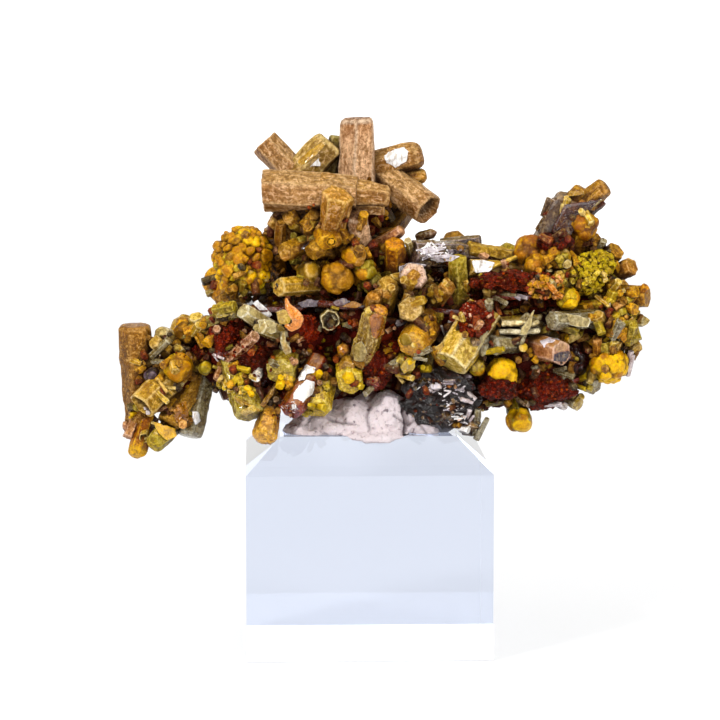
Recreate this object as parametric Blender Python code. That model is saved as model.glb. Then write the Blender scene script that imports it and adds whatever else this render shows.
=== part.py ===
"""Pyromorphite with barite, held by putty on a clear square display block.

Metres, +Z up. The origin is the centre of the block's base, and the front faces -Y.
Every place in the lists below is in millimetres. A front place is written as it is seen: x and z where
the sight line meets the plane y = 0, then the true depth y. A back place is plain x, y, z.
"""
import bmesh
import bpy
from math import cos, pi, radians, sin
from mathutils import Matrix, Vector

MM = 0.001
EYE = Vector((-14.5, -369.3, 83.6))

# The display block
BLOCK_SIDE = 31.75
BLOCK_HEIGHT = 28.5
BLOCK_BEVEL = 4.45

# Touching pieces keep this gap
GAP = 0.3
PUTTY_REST = BLOCK_HEIGHT + GAP
CUTTER_MARGIN = 0.1

# Small solids inside the specimen and the putty that their unions start from
SEED_HALVES = (2.0, 2.0, 1.5)
SPECIMEN_SEED = (0.0, 0.0, 41.0)
PUTTY_SEED = (0.0, -2.0, 30.5)
FOOT_CUTTER_SIDE = 30.0

# Front crystals: foot (x, z, y), tip (x, z, y), thickness, turn about the axis in degrees
CROWN = (
    ((-4.5, 57.5, 0.0), (-13.2, 65.5, -1.0), 3.7, 10),
    ((-9.0, 59.0, -2.0), (-4.5, 66.5, -1.0), 3.7, 25),
    ((-1.0, 51.5, -1.5), (-1.0, 68.9, -1.5), 4.9, 5),
    ((3.0, 58.0, -7.5), (-14.0, 59.5, -7.5), 6.0, 20),
    ((-5.2, 53.4, -8.0), (-2.9, 60.2, -12.5), 4.4, 15),
    ((-0.5, 62.2, 1.0), (7.3, 64.3, -0.5), 4.0, 8),
    ((4.0, 61.0, 1.5), (8.0, 61.4, 0.0), 2.2, 0),
    ((1.2, 62.0, -3.0), (8.6, 56.7, -8.0), 4.9, 12),
)
RIDGE = (
    ((-0.5, 51.0, -5.0), (4.9, 54.3, -8.5), 1.8, 0),
    ((3.9, 47.5, -5.0), (3.9, 52.8, -9.0), 3.2, 10),
    ((14.5, 50.8, -5.0), (6.3, 51.4, -8.0), 4.0, 20),
    ((4.5, 47.0, -5.0), (8.2, 48.4, -11.5), 4.0, 5),
    ((12.5, 45.0, -7.0), (12.0, 50.6, -9.0), 2.8, 0),
    ((20.5, 50.2, -4.0), (13.8, 51.6, -6.0), 2.6, 15),
    ((19.5, 48.3, -5.0), (13.9, 49.5, -9.0), 2.6, 5),
    ((-8.5, 50.5, -3.0), (-11.5, 55.0, -6.0), 2.1, 0),
    ((-5.5, 53.0, -3.0), (-9.9, 55.3, -6.0), 2.0, 20),
    ((-6.0, 51.0, -5.0), (-11.3, 52.2, -9.5), 2.9, 10),
    ((-0.8, 46.0, -7.0), (-1.5, 52.0, -10.0), 3.0, 5),
    ((-5.0, 47.0, -6.0), (-11.7, 46.9, -11.5), 2.9, 0),
    ((-9.5, 46.0, 1.0), (-12.2, 54.8, 0.0), 3.0, 12),
    ((-13.0, 42.0, 3.0), (-15.9, 51.6, -7.0), 7.8, 8),
)
LEFT_WING = (
    ((-29.4, 28.5, -3.0), (-30.6, 41.8, -4.0), 5.0, 12),
    ((-23.0, 37.5, -4.0), (-29.6, 31.0, -9.5), 4.8, 0),
    ((-22.0, 35.5, -4.0), (-26.3, 28.0, -8.0), 4.4, 20),
    ((-21.6, 36.0, -3.0), (-23.3, 26.8, -6.0), 3.8, 10),
    ((-28.6, 30.0, -4.0), (-30.5, 24.3, -7.0), 3.3, 0),
    ((-28.5, 30.0, -4.0), (-32.2, 28.8, -5.0), 2.2, 25),
    ((-25.0, 29.5, -4.0), (-27.6, 26.2, -7.5), 3.2, 15),
    ((-22.0, 37.0, 0.0), (-26.8, 40.8, -5.0), 3.0, 5),
    ((-21.5, 37.5, 1.0), (-24.2, 42.0, -4.0), 3.2, 18),
)
FRONT_BAND = (
    ((-17.0, 37.0, -7.0), (-15.4, 29.6, -12.0), 4.6, 6),
    ((-18.5, 37.0, -8.0), (-19.2, 33.3, -11.0), 2.4, 0),
    ((-18.0, 37.0, -8.0), (-14.7, 40.2, -13.0), 1.9, 10),
    ((-12.0, 33.5, -8.0), (-13.4, 26.1, -14.5), 4.0, 15),
    ((-10.2, 38.5, -5.0), (-11.2, 35.2, -12.5), 4.8, 0),
    ((-6.8, 36.2, -8.0), (-9.7, 30.5, -13.5), 3.6, 8),
    ((-5.4, 35.5, -7.0), (-6.4, 29.9, -12.5), 4.2, 22),
    ((-1.8, 37.5, -6.0), (-2.2, 33.4, -12.5), 4.6, 10),
    ((0.2, 35.5, -9.0), (1.9, 43.7, -13.5), 3.6, 18),
    ((-9.0, 43.5, -9.0), (-9.6, 42.8, -14.0), 4.4, 0),
    ((-11.5, 41.0, -8.0), (-15.8, 43.6, -12.0), 2.4, 14),
    ((6.2, 44.0, -6.0), (5.9, 43.8, -12.5), 4.2, 9),
    ((7.4, 42.0, -6.0), (6.7, 39.9, -13.0), 5.0, 3),
    ((5.0, 38.0, -6.0), (4.8, 35.8, -11.5), 3.6, 17),
    ((14.2, 43.0, -7.0), (12.4, 37.6, -14.0), 6.2, 11),
    ((14.0, 37.5, -6.0), (15.0, 35.8, -11.0), 2.6, 0),
    ((20.8, 39.0, -7.0), (16.7, 39.0, -12.0), 3.1, 20),
    ((18.5, 37.5, -4.0), (18.2, 35.2, -11.0), 4.0, 6),
    ((23.5, 40.5, -4.0), (21.5, 41.3, -10.5), 3.6, 13),
    ((22.0, 38.5, -7.0), (26.0, 38.0, -12.5), 3.9, 4),
    ((31.5, 42.2, -5.0), (25.4, 42.8, -11.0), 3.2, 16),
    ((28.0, 44.0, -4.0), (26.6, 45.2, -10.5), 3.4, 2),
)
RIGHT_FLANK = (
    ((24.0, 48.0, 1.0), (24.4, 58.4, -3.0), 4.4, 10),
    ((25.5, 54.5, 0.0), (31.3, 60.0, -3.5), 3.0, 5),
    ((23.5, 48.0, -2.0), (21.9, 51.8, -8.0), 4.0, 12),
    ((26.0, 47.5, -2.0), (25.6, 50.8, -9.5), 3.6, 0),
    ((27.5, 50.0, 0.0), (29.0, 54.6, -6.0), 3.6, 20),
    ((29.0, 47.0, -2.0), (30.0, 48.6, -9.0), 5.6, 7),
    ((29.5, 48.0, 1.0), (33.4, 50.2, -3.0), 3.4, 15),
    ((30.0, 47.0, 1.0), (35.0, 48.4, -4.0), 2.8, 3),
    ((29.5, 45.5, -1.0), (37.9, 45.6, -4.5), 3.4, 11),
    ((30.5, 43.0, 1.0), (37.6, 42.0, -2.0), 2.2, 0),
    ((31.5, 44.0, -2.0), (34.6, 39.5, -6.5), 5.2, 18),
    ((31.0, 41.0, -2.0), (32.4, 36.2, -8.0), 5.6, 8),
    ((28.0, 36.0, -1.0), (30.5, 33.6, -6.0), 3.4, 14),
    ((26.0, 33.5, -1.0), (28.0, 31.0, -5.5), 2.4, 5),
    ((20.0, 32.5, -2.0), (20.6, 29.0, -7.0), 3.8, 12),
    ((13.2, 33.0, -5.0), (14.0, 28.6, -9.5), 2.9, 10),
)

# Back crystals: foot (x, y, z), tip (x, y, z), thickness, turn
BACK = (
    ((-2.0, 1.0, 55.0), (-6.5, 9.0, 63.0), 4.4, 10),
    ((1.0, 1.0, 56.0), (5.0, 10.0, 61.0), 4.6, 25),
    ((-4.0, 1.0, 57.0), (-10.0, 8.0, 57.5), 4.2, 5),
    ((0.0, 0.0, 58.0), (-1.0, 6.0, 66.0), 3.8, 15),
    ((3.0, 0.0, 54.0), (10.5, 5.0, 56.5), 3.6, 0),
    ((-6.0, 2.0, 47.0), (-12.0, 12.0, 52.5), 5.0, 20),
    ((2.0, 3.0, 48.0), (3.0, 13.0, 53.0), 4.6, 8),
    ((9.0, 2.0, 46.0), (13.0, 11.0, 52.0), 4.2, 14),
    ((15.0, 3.0, 45.0), (20.0, 12.0, 50.0), 4.8, 3),
    ((22.0, 3.0, 45.0), (27.0, 11.0, 51.0), 4.4, 18),
    ((28.0, 2.0, 43.0), (35.0, 8.0, 46.0), 4.2, 6),
    ((29.0, 2.0, 40.0), (34.0, 9.0, 37.5), 4.6, 12),
    ((-14.0, 3.0, 42.0), (-20.0, 11.0, 47.0), 5.2, 0),
    ((-18.0, 2.0, 38.0), (-25.0, 9.0, 40.5), 4.6, 16),
    ((-24.0, 0.0, 34.0), (-30.0, 6.0, 36.0), 4.6, 9),
    ((-22.0, 0.0, 34.0), (-25.5, 5.0, 28.0), 4.2, 21),
    ((-10.0, 6.0, 40.0), (-11.0, 16.5, 41.5), 5.4, 4),
    ((-2.0, 7.0, 41.0), (-3.5, 17.5, 44.0), 5.0, 13),
    ((6.0, 7.0, 40.0), (7.0, 17.5, 40.0), 5.6, 22),
    ((14.0, 6.0, 40.0), (16.5, 16.0, 42.5), 5.0, 7),
    ((22.0, 5.0, 39.0), (25.5, 14.0, 39.5), 5.2, 15),
    ((-14.0, 5.0, 37.0), (-19.0, 13.0, 34.5), 4.6, 1),
    ((-5.0, 7.0, 37.0), (-7.0, 15.5, 35.0), 4.4, 19),
    ((10.0, 7.0, 37.0), (11.5, 15.0, 34.0), 4.6, 10),
    ((18.0, 5.0, 36.0), (20.5, 12.5, 32.5), 4.4, 5),
)

# Barite blades: centre (x, z, y), length, width, thickness, tilt and lean in degrees
BLADES = (
    ((-11.0, 44.6, -5.0), 14.0, 11.0, 1.4, 1, 4),
    ((-3.0, 44.4, -6.0), 13.0, 12.0, 1.5, -2, -5),
    ((-17.0, 39.5, -5.0), 9.0, 11.0, 1.6, 8, 10),
    ((10.0, 44.6, -4.0), 15.0, 12.0, 1.5, -3, 6),
    ((19.5, 46.6, -4.0), 11.0, 11.0, 1.6, 4, -4),
    ((20.0, 42.4, -5.0), 12.0, 12.0, 1.4, 2, 5),
    ((3.0, 37.0, -4.0), 14.0, 10.0, 1.6, -4, 0),
    ((24.0, 33.8, -3.0), 12.0, 10.0, 1.8, 6, -6),
    ((12.0, 33.5, -4.0), 11.0, 9.0, 1.8, 2, 8),
)

# The grown-together middle: centre (x, y, z) and half sizes
LUMPS = (
    ((-17.0, -1.0, 38.5), (7.5, 8.5, 6.5)),
    ((-9.5, 0.0, 40.0), (8.5, 11.0, 7.5)),
    ((0.0, 0.5, 41.0), (9.0, 12.0, 8.0)),
    ((10.0, 0.5, 40.5), (9.0, 11.0, 8.5)),
    ((19.5, 0.0, 40.0), (8.5, 10.0, 8.5)),
    ((27.5, 0.0, 41.0), (6.5, 8.0, 8.0)),
    ((25.5, 1.0, 48.0), (5.0, 5.0, 5.0)),
    ((-24.5, -2.0, 34.5), (5.0, 5.5, 5.5)),
    ((-4.0, 0.0, 49.5), (8.0, 7.5, 5.0)),
    ((6.0, 0.0, 49.0), (8.5, 7.0, 4.0)),
    ((-1.0, -1.0, 57.5), (6.0, 5.5, 5.5)),
    ((10.5, -1.0, 34.0), (6.0, 7.5, 4.2)),
)

# The putty: centre (x, y, z) and half sizes of its pressed lobes
PUTTY_LOBES = (
    ((0.0, -2.0, 29.0), (9.2, 9.0, 4.0)),
    ((-4.5, -5.5, 29.0), (5.6, 5.4, 2.6)),
    ((2.7, -7.2, 30.4), (2.7, 3.6, 3.4)),
    ((7.3, -6.6, 29.6), (2.5, 3.6, 3.8)),
)


def seen(place):
    """The true place of (x, z, y): a point at depth y on the sight line through (x, 0, z)."""
    x, z, y = place
    on_plane = Vector((x, 0.0, z))
    sight = on_plane - EYE
    return on_plane + sight * (y / sight.y)


def clear_scene():
    for thing in list(bpy.data.objects):
        bpy.data.objects.remove(thing, do_unlink=True)


def material(name, colour, roughness, metallic=0.0):
    made = bpy.data.materials.new(name)
    made.use_nodes = True
    shader = made.node_tree.nodes["Principled BSDF"]
    shader.inputs["Base Color"].default_value = (*colour, 1.0)
    shader.inputs["Roughness"].default_value = roughness
    shader.inputs["Metallic"].default_value = metallic
    return made


def make_object(name, mesh_builder, surface):
    mesh = bpy.data.meshes.new(name)
    bmesh.ops.scale(mesh_builder, vec=(MM, MM, MM), verts=mesh_builder.verts)
    bmesh.ops.recalc_face_normals(mesh_builder, faces=mesh_builder.faces)
    mesh_builder.to_mesh(mesh)
    mesh_builder.free()
    made = bpy.data.objects.new(name, mesh)
    mesh.materials.append(surface)
    bpy.context.scene.collection.objects.link(made)
    return made


def add_prism(builder, foot, tip, thickness, turn, end_scale=0.94):
    """A six-sided crystal from foot to tip with a slightly narrower far end."""
    axis = tip - foot
    aim = axis.to_track_quat("Z", "X").to_matrix().to_4x4()
    place = Matrix.Translation(foot) @ aim @ Matrix.Rotation(radians(turn), 4, "Z")
    rings = []
    for height, scale in ((0.0, 1.0), (axis.length, end_scale)):
        radius = thickness / 2.0 * scale
        ring = []
        for corner in range(6):
            angle = corner * pi / 3.0
            spot = place @ Vector((radius * cos(angle), radius * sin(angle), height))
            ring.append(builder.verts.new(spot))
        rings.append(ring)
    builder.faces.new(list(reversed(rings[0])))
    builder.faces.new(rings[1])
    for corner in range(6):
        after = (corner + 1) % 6
        builder.faces.new((rings[0][corner], rings[0][after], rings[1][after], rings[1][corner]))


def add_blade(builder, centre, length, width, thickness, tilt, lean):
    """A flat barite crystal with pointed ends: tilt is about Y, lean is about X."""
    turn = Matrix.Rotation(radians(-tilt), 4, "Y") @ Matrix.Rotation(radians(lean), 4, "X")
    place = Matrix.Translation(centre) @ turn
    half = length / 2.0
    side = width / 2.0
    outline = ((half, 0.25), (half * 0.6, side), (-half * 0.6, side), (-half, 0.15),
               (-half * 0.6, -side), (half * 0.6, -side))
    top = [builder.verts.new(place @ Vector((x, y, thickness / 2.0))) for x, y in outline]
    bottom = [builder.verts.new(place @ Vector((x, y, -thickness / 2.0))) for x, y in outline]
    builder.faces.new(top)
    builder.faces.new(list(reversed(bottom)))
    for corner in range(len(outline)):
        after = (corner + 1) % len(outline)
        builder.faces.new((bottom[corner], bottom[after], top[after], top[corner]))


def add_lump(builder, centre, halves, grow=0.0, detail=2):
    """A rounded lump; grow adds the same margin to every half size."""
    sizes = [half + grow for half in halves]
    place = Matrix.Translation(centre) @ Matrix.Diagonal((*sizes, 1.0))
    bmesh.ops.create_icosphere(builder, subdivisions=detail, radius=1.0, matrix=place)


def join_solids(target, seed_centre):
    """Joins the overlapping closed shapes of one mesh into one solid, from a small seed inside it."""
    seed_builder = bmesh.new()
    add_lump(seed_builder, Vector(seed_centre), SEED_HALVES)
    seed = make_object(target.name + "_seed", seed_builder, target.data.materials[0])
    hide_helper(seed)
    union = target.modifiers.new("grown_together", "BOOLEAN")
    union.operation = "UNION"
    union.use_self = True
    union.object = seed


def hide_helper(helper):
    helper.hide_render = True
    helper.display_type = "WIRE"


def cut(target, cutter_builder, label, cutter_overlaps=False):
    """Takes the builder's shape away from the target."""
    cutter = make_object(label, cutter_builder, target.data.materials[0])
    hide_helper(cutter)
    remove = target.modifiers.new(label, "BOOLEAN")
    remove.operation = "DIFFERENCE"
    remove.use_self = cutter_overlaps
    remove.object = cutter


def block_shape(builder, grow=0.0):
    """The square block: straight sides, then a 45 degree bevel round its top face."""
    half = BLOCK_SIDE / 2.0 + grow
    top = BLOCK_HEIGHT + grow
    levels = ((half, -grow), (half, top - BLOCK_BEVEL), (half - BLOCK_BEVEL, top))
    rings = []
    for reach, height in levels:
        corners = ((-reach, -reach), (reach, -reach), (reach, reach), (-reach, reach))
        rings.append([builder.verts.new((x, y, height)) for x, y in corners])
    builder.faces.new(list(reversed(rings[0])))
    builder.faces.new(rings[-1])
    for low, high in zip(rings, rings[1:]):
        for corner in range(4):
            after = (corner + 1) % 4
            builder.faces.new((low[corner], low[after], high[after], high[corner]))


def make_block():
    builder = bmesh.new()
    block_shape(builder)
    return make_object("acrylic_block", builder, material("clear_acrylic", (0.9, 0.93, 0.97), 0.04))


def add_putty_lobes(builder, grow=0.0):
    for centre, halves in PUTTY_LOBES:
        add_lump(builder, Vector(centre), halves, grow=grow, detail=3)


def make_putty():
    builder = bmesh.new()
    add_putty_lobes(builder)
    putty = make_object("putty", builder, material("mineral_putty", (0.62, 0.53, 0.52), 0.7))
    join_solids(putty, PUTTY_SEED)
    under = bmesh.new()
    middle = PUTTY_REST - FOOT_CUTTER_SIDE / 2.0
    bmesh.ops.create_cube(under, size=FOOT_CUTTER_SIDE, matrix=Matrix.Translation((0.0, 0.0, middle)))
    cut(putty, under, "flat_foot")
    return putty


def make_specimen():
    builder = bmesh.new()
    for group in (CROWN, RIDGE, LEFT_WING, FRONT_BAND, RIGHT_FLANK):
        for foot, tip, thickness, turn in group:
            add_prism(builder, seen(foot), seen(tip), thickness, turn)
    for foot, tip, thickness, turn in BACK:
        add_prism(builder, Vector(foot), Vector(tip), thickness, turn)
    for centre, length, width, thickness, tilt, lean in BLADES:
        add_blade(builder, seen(centre), length, width, thickness, tilt, lean)
    for centre, halves in LUMPS:
        add_lump(builder, Vector(centre), halves)
    specimen = make_object("specimen", builder, material("pyromorphite", (0.42, 0.25, 0.09), 0.45))
    join_solids(specimen, SPECIMEN_SEED)
    seat = bmesh.new()
    add_putty_lobes(seat, grow=GAP + CUTTER_MARGIN)
    cut(specimen, seat, "seat_in_putty", cutter_overlaps=True)
    clearance = bmesh.new()
    block_shape(clearance, grow=GAP + CUTTER_MARGIN)
    cut(specimen, clearance, "clear_of_block")
    return specimen


clear_scene()
make_block()
make_putty()
make_specimen()
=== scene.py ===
"""The looks of a pyromorphite and barite specimen on its clear display block.

Places are in millimetres in the frame's own axes. A front place is written as it is seen: x and z where the
sight line meets the plane y = 0, then the true depth y. A back place is plain x, y, z. Where a front place has
no depth of its own, it lies on whatever the sight line meets first.
"""
from math import cos, pi, radians, sin

import bmesh
import bpy
import numpy as np
from mathutils import Matrix, Vector, noise
from mathutils.bvhtree import BVHTree


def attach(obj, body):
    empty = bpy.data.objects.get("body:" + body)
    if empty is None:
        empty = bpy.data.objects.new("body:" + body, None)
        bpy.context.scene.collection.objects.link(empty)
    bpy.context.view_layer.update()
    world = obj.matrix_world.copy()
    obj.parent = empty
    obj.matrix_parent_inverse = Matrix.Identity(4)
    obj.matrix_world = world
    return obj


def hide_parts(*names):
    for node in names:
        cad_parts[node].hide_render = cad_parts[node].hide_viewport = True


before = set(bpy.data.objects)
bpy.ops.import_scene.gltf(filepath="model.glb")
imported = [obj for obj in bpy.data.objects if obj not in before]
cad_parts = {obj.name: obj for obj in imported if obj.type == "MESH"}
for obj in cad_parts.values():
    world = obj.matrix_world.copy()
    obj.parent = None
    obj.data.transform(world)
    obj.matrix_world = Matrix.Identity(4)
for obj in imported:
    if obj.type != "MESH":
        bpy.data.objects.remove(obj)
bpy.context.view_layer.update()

MM = 0.001
ROOM_LIGHT = 0.12
ROOM_SEEN = 1.3
FLOOR_RADIUS = 0.6
FLOOR_DROP = -0.0002
EYE = Vector((-14.5, -369.3, 83.6))
AIM = Vector((-0.7, 0.0, 37.0))
LENS = 140.4

# Colours, 0 to 255: body, far end, and the paler colour laid along edges as a painted highlight
LOOKS = {
    "caramel": ((160, 112, 54), (150, 100, 46), (208, 166, 110)),
    "bark": ((130, 90, 50), (148, 104, 58), (186, 146, 100)),
    "tan": ((164, 120, 72), (158, 108, 58), (218, 180, 132)),
    "bisque": ((204, 162, 124), (160, 106, 60), (240, 214, 184)),
    "khaki": ((160, 126, 58), (164, 128, 62), (212, 186, 122)),
    "sand": ((184, 146, 80), (188, 152, 88), (232, 208, 158)),
    "walnut": ((118, 76, 28), (104, 64, 24), (180, 134, 80)),
    "umber": ((142, 98, 36), (154, 106, 44), (208, 166, 104)),
    # Ginger's pale pink far end is a painted highlight on the crystal's end
    "ginger": ((158, 98, 26), (196, 146, 104), (226, 180, 130)),
    "olive": ((136, 116, 38), (158, 136, 48), (204, 188, 122)),
    "moss": ((92, 80, 28), (134, 118, 42), (184, 170, 108)),
    "lime": ((166, 136, 8), (188, 160, 14), (214, 190, 62)),
    "honey": ((178, 118, 34), (200, 142, 48), (230, 190, 116)),
    "amber": ((146, 80, 16), (190, 118, 30), (224, 174, 96)),
    "flame": ((170, 82, 12), (216, 160, 20), (232, 190, 90)),
    "yellow": ((226, 168, 8), (236, 184, 14), (246, 212, 84)),
    "lemon": ((174, 140, 34), (192, 160, 46), (234, 214, 134)),
    "cream": ((208, 174, 98), (222, 192, 112), (250, 236, 194)),
    "ash": ((154, 134, 84), (176, 156, 104), (236, 226, 194)),
    "clear": ((168, 152, 106), (194, 180, 134), (246, 240, 218)),
    "smoke": ((80, 56, 40), (106, 80, 58), (180, 158, 136)),
    "slate": ((52, 34, 30), (78, 58, 52), (164, 146, 142)),
    "violet": ((58, 44, 52), (74, 58, 68), (140, 122, 140)),
    "lavender": ((112, 102, 112), (140, 130, 140), (200, 190, 200)),
    "frost": ((206, 194, 200), (222, 212, 216), (246, 240, 244)),
    "rose": ((158, 108, 84), (184, 136, 108), (232, 198, 176)),
    "shell": ((138, 110, 50), (226, 194, 182), (236, 214, 198)),
    "salmon": ((222, 148, 100), (232, 162, 112), (246, 192, 150)),
    "rust": ((124, 26, 6), (146, 44, 10), (164, 62, 22)),
    "blood": ((88, 9, 5), (110, 16, 6), (136, 34, 18)),
    "maroon": ((48, 9, 6), (66, 14, 8), (96, 34, 26)),
    "coal": ((12, 6, 5), (22, 12, 11), (56, 46, 46)),
    # The white look is a painted highlight: faces, flakes and grains painted as glints of the lamps
    "white": ((250, 247, 246), (250, 247, 246), (255, 253, 252)),
}

# Each crystal: foot (x, z, y), tip (x, z, y), thickness, turn in degrees, look, end, widening
CROWN = (
    ((-5.0, 57.0, -1.5), (-13.4, 65.8, 0.5), 4.4, 10, "tan", "flat"),
    ((-11.5, 58.2, -1.0), (-4.5, 65.9, -0.5), 4.9, 14, "khaki", "worn"),
    ((-4.6, 60.0, 0.5), (-3.6, 66.6, 1.0), 2.6, 14, "olive", "worn"),
    ((-1.1, 51.5, -1.5), (-1.0, 68.95, -1.0), 5.2, 0, "bisque", "worn", 0.95),
    ((-1.0, 59.0, -7.9), (-13.4, 59.4, -6.6), 4.9, 0, "tan", "flat", 1.2),
    ((-1.0, 52.6, -7.0), (-1.0, 56.4, -9.4), 3.5, 10, "bisque", "worn", 0.9),
    ((-6.0, 54.0, -4.5), (-10.4, 56.6, -6.5), 3.0, 10, "honey", "dome"),
    ((-6.5, 52.5, -5.0), (-7.2, 56.4, -7.5), 2.8, 10, "ginger", "dome"),
    ((-2.6, 53.0, -5.5), (-5.6, 55.2, -8.8), 2.6, 10, "honey", "dome"),
    ((-3.0, 51.6, -5.0), (-3.4, 54.0, -8.6), 2.4, 10, "umber", "dome"),
    ((-8.0, 53.0, -3.5), (-12.4, 55.8, -4.5), 2.4, 20, "honey", "worn"),
    ((-6.0, 59.5, -7.4), (3.2, 58.7, -7.9), 5.0, 4, "caramel", "worn", 0.6),
    ((-7.0, 60.6, -6.8), (1.6, 59.6, -7.8), 2.4, 0, "khaki", "worn", 0.6),
    ((-4.0, 57.6, -7.4), (2.6, 57.1, -7.7), 2.2, 20, "caramel", "worn"),
    ((-5.0, 53.6, -8.6), (-3.6, 59.1, -11.8), 2.4, 8, "honey", "worn", 1.85),
    ((-3.4, 54.5, -8.6), (-2.6, 58.6, -10.6), 2.0, 18, "honey", "worn", 1.2),
    ((4.0, 61.0, 1.5), (7.9, 61.4, 0.0), 2.4, 0, "honey", "dome"),
    ((-0.5, 62.4, 1.0), (7.6, 64.2, 0.0), 4.4, 4, "caramel", "dome"),
    ((1.8, 61.9, 1.6), (8.3, 56.9, -4.2), 5.1, 12, "tan", "hollow"),
    ((-12.0, 58.0, -4.0), (-5.5, 56.2, -6.5), 3.2, 15, "umber", "worn"),
)
RIDGE = (
    ((0.2, 51.6, -5.0), (5.0, 54.3, -8.0), 1.8, 0, "rose", "dome"),
    ((3.9, 47.5, -5.0), (3.9, 52.7, -9.0), 3.1, 10, "amber", "worn"),
    ((5.9, 47.0, -5.0), (6.5, 48.2, -11.5), 4.0, 25, "shell", "worn"),
    ((12.4, 45.0, -7.0), (12.2, 50.6, -9.5), 2.9, 0, "olive", "worn"),
    ((-11.4, 51.5, -3.0), (-11.1, 55.3, -6.0), 1.8, 0, "tan", "flat"),
    ((-5.5, 53.4, -3.0), (-9.8, 55.4, -6.5), 2.2, 20, "khaki", "dome"),
    ((-6.6, 52.8, -5.0), (-11.0, 51.3, -9.5), 2.6, 10, "umber", "dome"),
    ((-5.5, 51.0, -5.0), (-6.6, 52.4, -9.5), 1.6, 10, "tan", "flat"),
    ((-0.2, 47.5, -6.0), (-1.6, 51.9, -10.0), 2.6, 5, "honey", "dome"),
    ((-5.0, 47.0, -6.0), (-11.6, 46.7, -11.0), 2.7, 0, "sand", "worn"),
    ((-9.5, 46.0, 1.0), (-12.2, 54.8, 0.0), 3.2, 12, "walnut", "flat"),
    ((-2.0, 51.0, -4.0), (-3.6, 53.2, -9.0), 1.8, 12, "khaki", "worn"),
    ((1.6, 42.0, -6.0), (3.2, 47.6, -10.5), 3.6, 5, "sand", "dome"),
    ((0.4, 41.5, -7.0), (1.3, 45.9, -11.0), 2.4, 15, "tan", "dome"),
    ((5.5, 45.0, -5.0), (9.2, 46.3, -9.5), 1.9, 7, "sand", "worn"),
    ((9.0, 44.0, -5.0), (11.2, 46.9, -10.5), 2.3, 17, "tan", "dome"),
    ((20.5, 50.4, -4.0), (13.6, 51.7, -6.5), 2.3, 15, "khaki", "flat"),
    ((21.5, 51.2, -4.5), (16.6, 49.2, -9.0), 0.7, 0, "cream", "worn"),
    ((14.0, 46.5, -6.0), (15.7, 48.2, -9.5), 1.8, 10, "olive", "worn"),
)
RIDGE_GLASSY = (
    ((14.5, 50.9, -5.0), (6.3, 51.3, -8.0), 3.9, 20, "slate", "flat"),
    ((10.0, 52.4, -4.0), (15.2, 52.9, -5.5), 1.6, 5, "slate", "flat"),
    ((20.0, 48.6, -5.0), (13.8, 49.3, -9.0), 2.5, 5, "sand", "flat"),
    ((6.4, 50.0, -6.0), (5.6, 52.9, -9.5), 1.2, 5, "ash", "flat"),
    ((7.0, 53.2, -3.0), (9.4, 54.0, -5.0), 1.4, 5, "smoke", "point"),
)
LEFT_WING = (
    ((-30.0, 28.5, -3.0), (-30.6, 41.8, -4.0), 4.2, 12, "bark", "worn", 1.14),
    ((-23.5, 36.8, -4.0), (-29.7, 31.0, -9.0), 4.3, 0, "sand", "hollow"),
    ((-21.5, 35.0, -3.0), (-26.2, 28.6, -7.5), 3.8, 20, "umber", "worn"),
    ((-28.8, 29.5, -3.0), (-30.5, 24.3, -6.0), 3.0, 0, "flame", "dome"),
    ((-30.4, 27.0, -3.0), (-32.1, 28.9, -4.0), 1.5, 25, "rose", "point"),
    ((-30.0, 30.5, -3.0), (-31.5, 26.7, -5.0), 1.8, 5, "rose", "worn"),
    ((-24.5, 29.5, -4.0), (-28.3, 25.6, -7.5), 3.0, 15, "olive", "dome"),
    ((-22.0, 37.0, 0.0), (-27.2, 40.9, -5.0), 2.6, 5, "ash", "dome"),
    ((-21.5, 37.5, 1.0), (-24.2, 42.2, -4.0), 3.0, 18, "honey", "dome"),
    ((-23.5, 36.0, -3.0), (-28.0, 39.6, -7.0), 2.2, 10, "sand", "worn"),
    ((-21.0, 38.0, -2.0), (-22.4, 43.0, -5.0), 2.4, 8, "cream", "worn"),
)
LEFT_WING_CLEAR = (
    ((-21.3, 36.0, -3.0), (-23.5, 26.9, -6.5), 3.6, 10, "clear", "worn"),
)
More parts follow.
